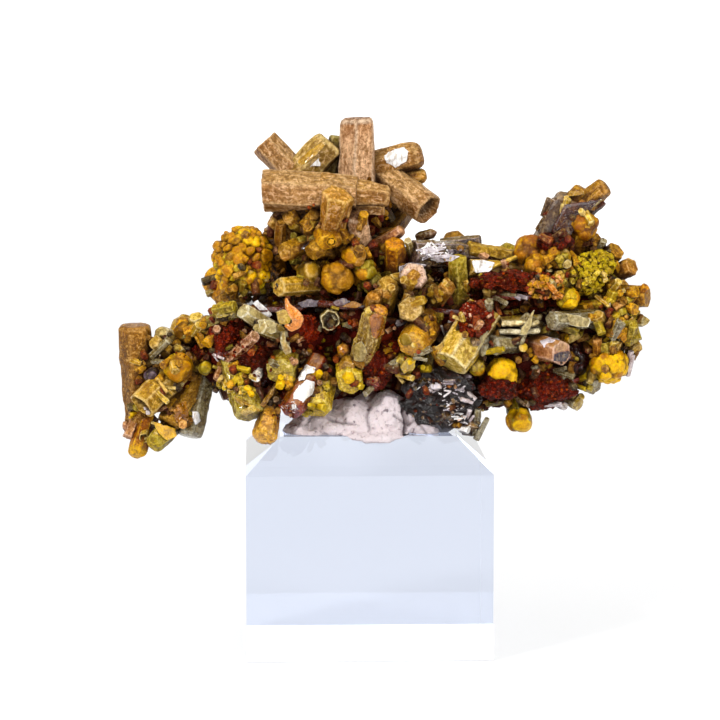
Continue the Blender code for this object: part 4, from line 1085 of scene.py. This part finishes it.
def mound(cluster, x, z, half_width, half_height, looks):
    """A low rough crust on the front, dark at its border and granular all over."""
    rng = cluster.rng
    place, _ = ground.front(x, z)
    if place is None:
        return
    shell, faces = SPHERES[4 if half_width * half_height < SMALL_CRUST else 5]
    points = shell * (half_width, 1.6, half_height)
    points = wobble(points, 2.2, 0.3, rng)
    shift = rng.uniform(0.0, 90.0)
    rough = np.array([noise.fractal(Vector(point) * 0.9 + Vector((shift, 0, 0)), 0.9, 2.1, 5) for point in points])
    grit = np.array([noise.noise(Vector(point) * 4.5) for point in points])
    points = points + shell * (rough * 0.4 + grit * 0.2)[:, None]
    colours = [np.array(linear(LOOKS[look][0])) for look in looks]
    spot = np.clip(rough * 1.1 + grit * 0.6 + 0.35, 0.0, 1.0) * np.clip(1.4 - shell[:, 0] ** 2 - shell[:, 2] ** 2, 0, 1)
    tints = colours[0] * (1.0 - spot[:, None]) + colours[1] * spot[:, None]
    edge_highlight = np.array(linear(LOOKS[looks[1]][2]))
    cluster.add(points + np.array(place), faces, tints, np.tile(edge_highlight, (len(points), 1)),
                points + shift, np.clip(grit, 0.0, 1.0) * 0.5)


def plate(cluster, outline, thickness, centre, turn, look, bevel=0.35):
    """A thin bevelled plate of any outline, laid in the turn's own XY plane."""
    rng = cluster.rng
    count = len(outline)
    middle = outline.mean(axis=0)
    reach = np.linalg.norm(outline - middle, axis=1).mean()
    inset = 1.0 - min(0.6, bevel * thickness / reach)
    # The last number of each layer is its share of the pale highlight colour: a painted highlight on the bevels
    layers = ((inset, -0.5, 1.0), (1.0, -0.5 + bevel, 0.9), (1.0, 0.5 - bevel, 0.9), (inset, 0.5, 1.0),
              (inset * 0.9, 0.5, 0.3), (0.7, 0.5, 0.1), (0.4, 0.48, 0.1))
    rings = []
    highlight_shares = []
    for scale, height, rim in layers:
        flat = middle + (outline - middle) * scale
        rings.append(np.column_stack((flat, np.full(count, height * thickness))))
        highlight_shares.append(np.full(count, rim))
    points = np.concatenate(rings + [np.array(((*middle, 0.48 * thickness),))])
    points = wobble(points, reach * 0.8, 0.12 * thickness, rng)
    body, _, edge_highlight = [np.array(linear(colour)) for colour in LOOKS[look]]
    tints = np.tile(body * rng.uniform(0.85, 1.15), (len(points), 1))
    grains = points + rng.uniform(0.0, 50.0)
    world = points @ np.array(turn).T + np.array(centre)
    cluster.add(world, tube_faces(len(rings), count), tints, np.tile(edge_highlight, (len(points), 1)), grains,
                np.concatenate(highlight_shares + [np.array((0.1,))]))


def blade(cluster, centre, length, width, thickness, tilt, lean, look):
    """A flat barite crystal with pointed ends, bevelled and broken edges."""
    rng = cluster.rng
    turn = Matrix.Rotation(radians(-tilt), 3, "Y") @ Matrix.Rotation(radians(lean), 3, "X")
    corners = np.array(((0.5, 0.02), (0.3, 0.5), (-0.3, 0.5), (-0.5, 0.0), (-0.3, -0.5), (0.3, -0.5)))
    outline = []
    for start, finish in zip(corners, np.roll(corners, -1, axis=0)):
        for part in np.arange(0.0, 1.0, 0.125):
            outline.append(start * (1.0 - part) + finish * part)
    outline = np.array(outline) * rng.uniform(0.93, 1.03, (len(outline), 1)) * (length, width)
    plate(cluster, outline, thickness, Vector(centre), turn, look)


def facet(cluster, outline, look, rise):
    """A thin crystal face. A low one follows what lies under it; one that stands out is flat."""
    rng = cluster.rng
    fine = []
    for start, finish in zip(outline, outline[1:] + outline[:1]):
        start, finish = np.array(start), np.array(finish)
        fine += [start * (1.0 - part) + finish * part for part in (0.08, 0.36, 0.64, 0.92)]
    rim = np.array(fine) + rng.normal(0.0, 0.045, (len(fine), 2))
    count = len(rim)
    middle = rim.mean(axis=0)
    hits = [ground.front(x, z)[0] for x, z in outline]
    depth = float(np.median([hit.y for hit in hits if hit is not None]))
    rings = []
    for scale, out in ((1.0, -0.4 - rise), (1.0, 0.0), (0.93, 0.05), (0.7, 0.05), (0.35, 0.05), (0.02, 0.05)):
        ring = []
        for x, z in middle + (rim - middle) * scale:
            hit = ground.front(x, z)[0] if rise < 0.2 else None
            y = depth if hit is None else min(max(hit.y, depth - 1.2), depth + 1.2)
            ring.append(np.array(seen((x, z, y - rise - out))))
        rings.append(np.array(ring))
    points = np.concatenate(rings + [rings[-1].mean(axis=0)[None, :]])
    points = wobble(points, 1.3, 0.02, rng)
    body, _, edge_highlight = [np.array(linear(colour)) for colour in LOOKS[look]]
    tints = np.tile(body * rng.uniform(0.92, 1.08), (len(points), 1))
    # Painted highlight: the two outer rings take much of the pale highlight colour, the inner ones little
    highlight_shares = np.concatenate((np.full(count, 0.6), np.full(count, 0.9), np.full(4 * count + 1, 0.05)))
    faces = tube_faces(6, count)
    area = sum(a[0] * b[1] - b[0] * a[1] for a, b in zip(rim, np.roll(rim, -1, axis=0)))
    if area < 0.0:
        faces = [tuple(reversed(face)) for face in faces]
    cluster.add(points, faces, tints, np.tile(edge_highlight, (len(points), 1)), points + rng.uniform(0.0, 50.0), highlight_shares)


# The parts of the specimen

def build_core(surface):
    """The grown-together middle as one rough skin, from overlapping lumps."""
    builder = bmesh.new()
    for centre, halves in LUMPS:
        sizes = [half - CORE_SHRINK for half in halves]
        place = Matrix.Translation(centre) @ Matrix.Diagonal((*sizes, 1.0))
        bmesh.ops.create_icosphere(builder, subdivisions=4, radius=1.0, matrix=place)
    mesh = bpy.data.meshes.new("rusty_core")
    builder.to_mesh(mesh)
    builder.free()
    core = bpy.data.objects.new("rusty_core", mesh)
    bpy.context.scene.collection.objects.link(core)
    remesh = core.modifiers.new("one_skin", "REMESH")
    remesh.mode = "VOXEL"
    remesh.voxel_size = CORE_VOXEL
    evaluated = core.evaluated_get(bpy.context.evaluated_depsgraph_get())
    skin = bpy.data.meshes.new_from_object(evaluated)
    core.modifiers.clear()
    core.data = skin
    bpy.data.meshes.remove(mesh)
    places, normals = skin_rows(skin)
    rough = np.array([noise.fractal(Vector(place) * 0.35, 1.0, 2.0, 4) for place in places])
    grit = np.array([noise.cell(Vector(place) * 1.3) for place in places])
    places += normals * (rough * 1.1 + grit * 0.35)[:, None]
    skin.vertices.foreach_set("co", (places * MM).ravel())
    tone = np.array([noise.noise(Vector(place) * 0.16) for place in places])
    dark, red = np.array(linear((26, 10, 9))), np.array(linear((74, 14, 9)))
    share = np.clip(tone * 1.4 + 0.45, 0.0, 1.0)[:, None]
    layer = skin.attributes.new("tint", "FLOAT_COLOR", "POINT")
    layer.data.foreach_set("color", with_alpha(dark * (1 - share) + red * share).astype(np.float32).ravel())
    skin.materials.clear()
    skin.materials.append(surface)
    skin.update()
    settle(core, "specimen")
    ground.take(places, [tuple(face.vertices) for face in skin.polygons])
    return places, normals


def region_looks(place):
    """Which looks small crystals take at this place on the specimen."""
    x, y, z = place
    if z > 54.0 and abs(x) < 14.0:
        return ("caramel", "bark", "walnut", "honey")
    if x > 21.0 and z > 46.0:
        return ("honey", "amber", "lemon", "maroon")
    if x > 26.0:
        return ("yellow", "olive", "lemon", "cream", "caramel")
    if x < -20.0:
        return ("tan", "olive", "honey", "ash", "walnut")
    if z > 45.5:
        return ("olive", "walnut", "caramel", "moss", "rose")
    if z < 35.0:
        return ("coal", "maroon", "smoke", "moss")
    return ("maroon", "blood", "rust", "walnut", "rose", "olive")


def scatter(cluster, places, normals, count, sizes, keep):
    """Small crystals standing on the core's skin wherever keep allows."""
    rng = cluster.rng
    made = 0
    while made < count:
        pick = int(rng.integers(len(places)))
        place = places[pick]
        if not keep(place):
            continue
        made += 1
        out = Vector(normals[pick]) + Vector(rng.normal(0.0, 0.45, 3))
        out.normalize()
        width = rng.uniform(*sizes)
        length = width * rng.uniform(1.0, 2.2)
        looks = region_looks(place)
        look = looks[int(rng.integers(len(looks)))]
        foot = Vector(place) - out * width * 0.6
        end = ("flat", "dome", "worn")[int(rng.integers(3))]
        crystal(cluster, foot, foot + out * length, width, rng.uniform(0.0, 60.0), look, end, detail=1)


def grow(name, surface, rows, detail, front=True):
    cluster = Cluster(name, surface)
    for foot, tip, *rest in rows:
        ends = (seen(foot), seen(tip)) if front else (Vector(foot), Vector(tip))
        crystal(cluster, *ends, *rest, detail=detail)
    cluster.build()


def build_studs(surfaces):
    """The small crystals that the list places one by one, each on the surface built for its look."""
    clusters = {kind: Cluster("front_small_" + kind, surface) for kind, surface in surfaces.items()}
    kinds = {"clear": "clear", "ash": "clear", "frost": "glassy", "white": "glassy", "lavender": "glassy",
             "slate": "glassy", "coal": "glassy", "smoke": "glassy", "yellow": "gem", "lemon": "gem"}
    for x, z, angle, lean, length, width, look, end in STUDS:
        place, _ = ground.front(x, z)
        if place is None:
            continue
        side = Vector((cos(radians(angle)), 0.0, sin(radians(angle)))) * cos(radians(lean))
        way = side + Vector((0.0, -sin(radians(lean)), 0.0))
        foot = place - way * length * 0.55
        cluster = clusters[kinds.get(look, "waxy")]
        crystal(cluster, foot, foot + way * length, width, cluster.rng.uniform(0.0, 60.0), look, end, detail=2)
        rng = cluster.rng
        start = foot + Vector(rng.normal(0.0, 0.3 * width, 3))
        bent = (way + Vector(rng.normal(0.0, 0.5, 3))).normalized()
        crystal(cluster, start, start + bent * length * rng.uniform(0.6, 1.0), width * rng.uniform(0.6, 0.9),
                rng.uniform(0.0, 60.0), look, "flat", rng.uniform(0.7, 1.1), detail=1)
    for cluster in clusters.values():
        cluster.build()


def build_hollows(surface):
    """Tiny crystals in the hollows between the larger ones, where a sight line goes deeper than those beside it."""
    small = Cluster("hollow_druse", surface)
    rng = small.rng
    for _ in range(HOLLOW_TRIES):
        x, z = rng.uniform(-32.0, 37.0), rng.uniform(28.0, 57.0)
        place, normal = ground.front(x, z)
        beside = [ground.front(x + right, z + up)[0] for right, up in ((0.8, 0), (-0.8, 0), (0, 0.8), (0, -0.8))]
        if place is None or None in beside or place.y - sum(spot.y for spot in beside) / 4.0 < 0.15:
            continue
        looks = region_looks(place) if rng.uniform() < 0.3 else ("maroon", "coal", "walnut", "blood")
        look = looks[int(rng.integers(len(looks)))]
        width = rng.uniform(0.4, 1.3)
        out = (Vector(normal) + Vector(rng.normal(0.0, 0.8, 3))).normalized()
        crystal(small, place - out * width * 0.5, place + out * width * rng.uniform(0.4, 1.3), width,
                rng.uniform(0.0, 60.0), look, "flat", detail=1)
    small.build()


def curl(cluster, route, look):
    """A curled shell of crystal: a flattened tube along (x, z, y, thickness) stations."""
    rng = cluster.rng
    body, far, edge_highlight = [np.array(linear(colour)) for colour in LOOKS[look]]
    stations = np.array(route)
    steps = np.linspace(0.0, len(route) - 1.0, 6 * len(route))
    line = np.column_stack([np.interp(steps, np.arange(len(route)), stations[:, k]) for k in range(4)])
    line[1:-1] = (line[:-2] + line[1:-1] * 2.0 + line[2:]) / 4.0
    ways = np.gradient(line[:, :2], axis=0)
    ways /= np.linalg.norm(ways, axis=1)[:, None]
    angles = np.arange(CURL_SIDES) * 2.0 * pi / CURL_SIDES
    rings = []
    for (x, z, y, thick), (right, up) in zip(line, ways):
        across = np.column_stack((-up * np.cos(angles), 0.55 * np.sin(angles), right * np.cos(angles)))
        rings.append(np.array(seen((x, z, y))) + across * thick / 2.0)
    points = np.concatenate(rings + [np.array(seen(line[-1, :3]))[None, :]])
    points = wobble(points, 0.9, 0.04, rng)
    # Painted highlight: the thin sides of the curl take the pale highlight colour
    curl_side_highlight = np.tile(np.abs(np.cos(angles)) ** 3, len(rings))
    tints = body * (1.0 + 0.15 * rng.normal(size=(len(points), 1)))
    cluster.add(points, tube_faces(len(rings), CURL_SIDES), tints, np.tile(edge_highlight, (len(points), 1)),
                points + rng.uniform(0.0, 50.0), np.concatenate((curl_side_highlight, (0.2,))))


def build_patches(surfaces):
    """Low crusts on the front first, then grains and tiny crystals over them, each kind on its own surface."""
    kinds = {"blood": "red", "maroon": "red", "rust": "red", "coal": "black", "frost": "bright", "white": "bright"}
    mounds = {kind: Cluster("front_" + kind + "_mounds", surfaces[kind]) for kind in ("red", "black")}
    grains = {kind: Cluster("front_" + kind + "_grains", surface) for kind, surface in surfaces.items()}
    for x, z, half_width, half_height, _, _, _, looks in PATCHES:
        names = looks.split()
        kind = kinds.get(names[0], "waxy")
        if kind in mounds:
            mound(mounds[kind], x, z, half_width, half_height, names)
    for cluster in mounds.values():
        cluster.build()
    for x, z, half_width, half_height, count, smallest, largest, looks in PATCHES:
        names = looks.split()
        kind = kinds.get(names[0], "waxy")
        crust = grains[kind]
        rng = crust.rng
        if kind in mounds:
            count = count // 2
            smallest, largest = smallest * 0.4, largest * 0.6
        for _ in range(count):
            way = rng.uniform(0.0, 2.0 * pi)
            share = rng.uniform(0.0, 1.0) ** 0.5
            place, normal = ground.front(x + cos(way) * share * half_width, z + sin(way) * share * half_height)
            if place is None:
                continue
            size = rng.uniform(smallest, largest)
            look = names[int(rng.integers(len(names)))]
            if kind == "bright":
                across = Vector(normal).cross(Vector((*rng.normal(0.0, 0.5, 2), 1.0))).normalized()
                crystal(crust, place - across * size, place + across * size, size * 0.5,
                        rng.uniform(0.0, 60.0), look, "flat", detail=0)
            elif largest < 0.8 and rng.uniform() < 0.6:
                grain(crust, place, size, look)
            elif largest > 1.0:
                out = (Vector(normal) + Vector(rng.normal(0.0, 0.7, 3))).normalized()
                end = ("worn", "flat", "dome")[int(rng.integers(3))]
                crystal(crust, place - out * size * 0.8, place + out * size * rng.uniform(0.2, 0.8), size,
                        rng.uniform(0.0, 60.0), look, end, rng.uniform(0.7, 1.15), detail=2)
            else:
                out = (Vector(normal) + Vector(rng.normal(0.0, 0.5, 3))).normalized()
                crystal(crust, place - out * size * 0.6, place + out * size * rng.uniform(0.3, 1.1), size,
                        rng.uniform(0.0, 60.0), look, "flat", detail=0)
    for cluster in grains.values():
        cluster.build()


def build_specimen():
    warm = (1.0, 0.85, 0.65, 1.0)
    waxy = crystal_material("waxy_pyromorphite", 0.2, 0.8, 0.35, 0.22, specular_ior_level=0.42, specular_tint=warm)
    glazed = crystal_material("glazed_pyromorphite", 0.1, 0.8, 0.2, 0.4, (0.95, 0.85, 0.55),
                              specular_ior_level=0.5, coat_weight=0.4, coat_roughness=0.06)
    gem = crystal_material("yellow_pyromorphite", 0.24, 0.35, 0.1, 0.1, specular_ior_level=0.3, specular_tint=warm)
    druse_look = crystal_material("red_druse", 0.12, 0.9, 0.0, 0.1, (0.3, 0.05, 0.008), specular_ior_level=0.25,
                                  specular_tint=(1.0, 0.6, 0.45, 1.0))
    jet = crystal_material("black_glassy_barite", 0.02, 0.5, 0.0, 0.2, (0.02, 0.015, 0.015), specular_ior_level=0.5)
    tall = crystal_material("crown_pyromorphite", 0.22, 0.75, 0.2, 0.55, (0.92, 0.74, 0.54), 1.05,
                            specular_ior_level=0.42, specular_tint=warm)
    # Painted highlights: the white faces and grains on this surface are painted glints of the lamps; it also carries
    # the pale frost flakes
    bright = crystal_material("pale_flake_and_painted_glint", 0.03, 0.15, 0.0, 0.6, (1.0, 1.0, 1.0), 1.0, coat_weight=0.8,
                              coat_roughness=0.03)
    glassy = crystal_material("glassy_barite", 0.04, 0.5, 0.3, 0.25, coat_weight=0.7, coat_roughness=0.05)
    clear = crystal_material("clear_barite", 0.05, 0.8, 0.2, 0.5, (1.0, 0.95, 0.8), transmission_weight=0.45,
                             ior=1.6, coat_weight=0.5, coat_roughness=0.05)
    places, normals = build_core(core_material())
    druse = Cluster("front_druse", druse_look)
    scatter(druse, places, normals, 650, (0.4, 1.0), lambda place: place[1] < 0.0)
    druse.build()
    blades = Cluster("barite_blades", glassy)
    for centre, *rest in BLADES:
        blade(blades, seen(centre), *rest)
    blades.build()
    grow("crown_prisms", tall, CROWN, 3)
    grow("ridge_prisms", waxy, RIDGE, 3)
    grow("ridge_glassy_crystals", glassy, RIDGE_GLASSY, 3)
    grow("left_wing_prisms", waxy, LEFT_WING, 3)
    grow("left_wing_clear", clear, LEFT_WING_CLEAR, 3)
    grow("front_band_crystals", glazed, FRONT_BAND, 3)
    grow("front_glassy_crystals", glassy, FRONT_GLASSY, 3)
    grow("front_clear_crystals", clear, FRONT_CLEAR, 3)
    grow("right_flank_crystals", waxy, RIGHT_FLANK, 3)
    grow("right_flank_clear", clear, RIGHT_CLEAR, 3)
    grow("under_glassy_crystals", glassy, UNDER_GLASSY, 3)
    grow("back_crystals", waxy, BACK, 2, front=False)
    heads = Cluster("round_heads", gem)
    for centre, radius, count, cleft, looks in BALLS:
        ball(heads, seen(centre), radius, count, cleft, looks.split(), ball_fineness(radius, count))
    heads.build(60.0)
    build_patches({"waxy": waxy, "red": druse_look, "black": jet, "bright": bright})
    build_studs({"waxy": waxy, "gem": gem, "glassy": glassy, "clear": clear})
    build_hollows(waxy)
    faces = Cluster("thin_faces", glassy)
    # White faces are painted highlights and share their own surface with the frost faces
    mirrors = Cluster("bright_faces", bright)
    for look, rise, outline in FACETS:
        facet(mirrors if look in ("white", "frost") else faces, outline, look, rise)
    for look, route in CURLS:
        curl(faces, route, look)
    faces.build()
    mirrors.build()
    rear = Cluster("back_druse", waxy)
    scatter(rear, places, normals, 700, (0.8, 2.4), lambda place: place[1] >= 0.0)
    rear.build()


# Creases pressed in the putty: depth, width and the points of each, in x and z as seen
CREASES = (
    (0.5, 0.22, ((5.3, 31.6), (5.0, 30.0), (5.4, 28.4), (5.2, 27.0))),
    (0.35, 0.18, ((5.6, 29.9), (7.0, 30.9), (8.8, 30.4))),
    (0.3, 0.16, ((6.3, 28.9), (7.4, 28.0), (8.2, 27.0))),
    (0.3, 0.16, ((6.3, 28.9), (5.6, 28.0), (5.3, 27.6))),
    (0.3, 0.16, ((-5.0, 29.3), (-3.2, 28.6), (-1.4, 28.4))),
    (0.3, 0.16, ((3.9, 29.5), (4.6, 29.0), (5.1, 28.5))),
    (0.3, 0.2, ((0.6, 30.8), (0.2, 29.4), (0.6, 27.8))),
)


def build_putty():
    builder = bmesh.new()
    for centre, halves in PUTTY_LOBES:
        place = Matrix.Translation(centre) @ Matrix.Diagonal((*halves, 1.0))
        bmesh.ops.create_icosphere(builder, subdivisions=5, radius=1.0, matrix=place)
    mesh = bpy.data.meshes.new("pressed_putty")
    builder.to_mesh(mesh)
    builder.free()
    putty = bpy.data.objects.new("pressed_putty", mesh)
    bpy.context.scene.collection.objects.link(putty)
    remesh = putty.modifiers.new("one_skin", "REMESH")
    remesh.mode = "VOXEL"
    remesh.voxel_size = 0.2
    evaluated = putty.evaluated_get(bpy.context.evaluated_depsgraph_get())
    skin = bpy.data.meshes.new_from_object(evaluated)
    putty.modifiers.clear()
    putty.data = skin
    bpy.data.meshes.remove(mesh)
    places, normals = skin_rows(skin)
    rough = np.array([noise.fractal(Vector(place) * 0.5, 1.0, 2.0, 4) for place in places])
    fine = np.array([noise.fractal(Vector(place) * 1.7, 0.8, 2.1, 3) for place in places])
    depths = crease_depths(places, normals)
    places += normals * (rough * 0.25 + fine * 0.14 - depths)[:, None]
    over_edge = np.clip(np.abs(places[:, 1]) - BLOCK_FLAT, 0.0, None)
    places[:, 2] = np.maximum(places[:, 2], BLOCK_TOP + PUTTY_GAP - over_edge)
    skin.vertices.foreach_set("co", (places * MM).ravel())
    # Painted shade in the creases: the deeper a point is pressed in, the darker it is painted
    layer = skin.attributes.new("painted_crease_shade", "FLOAT", "POINT")
    layer.data.foreach_set("value", np.minimum(depths * 2.2, 1.0).astype(np.float32))
    skin.materials.clear()
    skin.materials.append(putty_material())
    skin.update()
    skin.shade_smooth()
    settle(putty, "putty")


def skin_rows(skin):
    """The places and outward directions of a mesh's points."""
    rows = []
    for title in ("co", "normal"):
        values = np.empty(len(skin.vertices) * 3)
        skin.vertices.foreach_get(title, values)
        rows.append(values.reshape(-1, 3))
    return rows


def crease_depths(places, normals):
    """How deep each putty point is pressed in, by its distance to the creases as seen."""
    eye = np.array(EYE)
    sight = places - eye
    on_plane = eye + sight * (-eye[1] / sight[:, 1])[:, None]
    spots = on_plane[:, (0, 2)]
    deepest = np.zeros(len(places))
    for depth, width, line in CREASES:
        for start, finish in zip(line, line[1:]):
            start = np.array(start)
            run = np.array(finish) - start
            share = np.clip((spots - start) @ run / (run @ run), 0.0, 1.0)
            away = np.linalg.norm(spots - start - share[:, None] * run, axis=1)
            deepest = np.maximum(deepest, depth * np.exp(-(away / width) ** 2))
    return np.where((places[:, 1] < 0.0) & (normals[:, 1] < 0.2), deepest, 0.0)


def finish_block():
    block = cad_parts["acrylic_block"]
    block.data.materials.clear()
    block.data.materials.append(acrylic_material())


# Floor, light and camera

def build_floor():
    """The floor sits a hair below the block, so light inside the block turns back at its base."""
    builder = bmesh.new()
    bmesh.ops.create_circle(builder, cap_ends=True, radius=FLOOR_RADIUS, segments=96,
                            matrix=Matrix.Translation((0.0, 0.0, FLOOR_DROP)))
    mesh = bpy.data.meshes.new("floor")
    builder.to_mesh(mesh)
    builder.free()
    floor = bpy.data.objects.new("floor", mesh)
    mesh.materials.append(floor_material())
    bpy.context.scene.collection.objects.link(floor)


def add_light(name, place, aim, size, power, colour=(1.0, 1.0, 1.0)):
    lamp = bpy.data.lights.new(name, "AREA")
    lamp.shape = "RECTANGLE"
    lamp.size = size[0]
    lamp.size_y = size[1]
    lamp.energy = power
    lamp.color = colour
    made = bpy.data.objects.new(name, lamp)
    made.location = place
    made.rotation_euler = (Vector(aim) - Vector(place)).to_track_quat("-Z", "Y").to_euler()
    bpy.context.scene.collection.objects.link(made)


def build_lights():
    """A white room that is bright to look at but lights softly, with a wide ceiling and small key lights."""
    world = bpy.data.worlds.new("white_room")
    bpy.context.scene.world = world
    world.use_nodes = True
    nodes = world.node_tree.nodes
    links = world.node_tree.links
    path = nodes.new("ShaderNodeLightPath")
    either = nodes.new("ShaderNodeMath")
    either.operation = "MAXIMUM"
    links.new(path.outputs["Is Camera Ray"], either.inputs[0])
    links.new(path.outputs["Is Transmission Ray"], either.inputs[1])
    strength = nodes.new("ShaderNodeMapRange")
    links.new(either.outputs[0], strength.inputs["Value"])
    strength.inputs["To Min"].default_value = ROOM_LIGHT
    strength.inputs["To Max"].default_value = ROOM_SEEN
    links.new(strength.outputs[0], nodes["Background"].inputs["Strength"])
    nodes["Background"].inputs["Color"].default_value = (1.0, 1.0, 1.0, 1.0)
    middle = (0.0, 0.0, 0.045)
    add_light("ceiling", (0.0, -0.1, 1.0), middle, (1.1, 1.1), 7.0)
    add_light("backdrop", (0.0, 1.1, 0.2), middle, (0.8, 0.5), 1.6)
    add_light("key_left", (-0.42, -0.42, 0.42), middle, (0.10, 0.10), 3.2)
    add_light("key_right", (0.42, -0.40, 0.30), middle, (0.10, 0.10), 1.6)
    add_light("front_fill", (0.0, -0.9, 0.25), middle, (0.4, 0.3), 1.5)


def build_camera():
    lens = bpy.data.cameras.new("camera")
    lens.lens = LENS
    lens.sensor_width = 36.0
    lens.clip_start = 0.01
    camera = bpy.data.objects.new("camera", lens)
    camera.location = EYE * MM
    camera.rotation_euler = (AIM - EYE).to_track_quat("-Z", "Y").to_euler()
    bpy.context.scene.collection.objects.link(camera)
    bpy.context.scene.camera = camera
    bpy.context.scene.view_settings.view_transform = "Standard"


build_camera()
build_lights()
build_floor()
finish_block()
build_putty()
build_specimen()
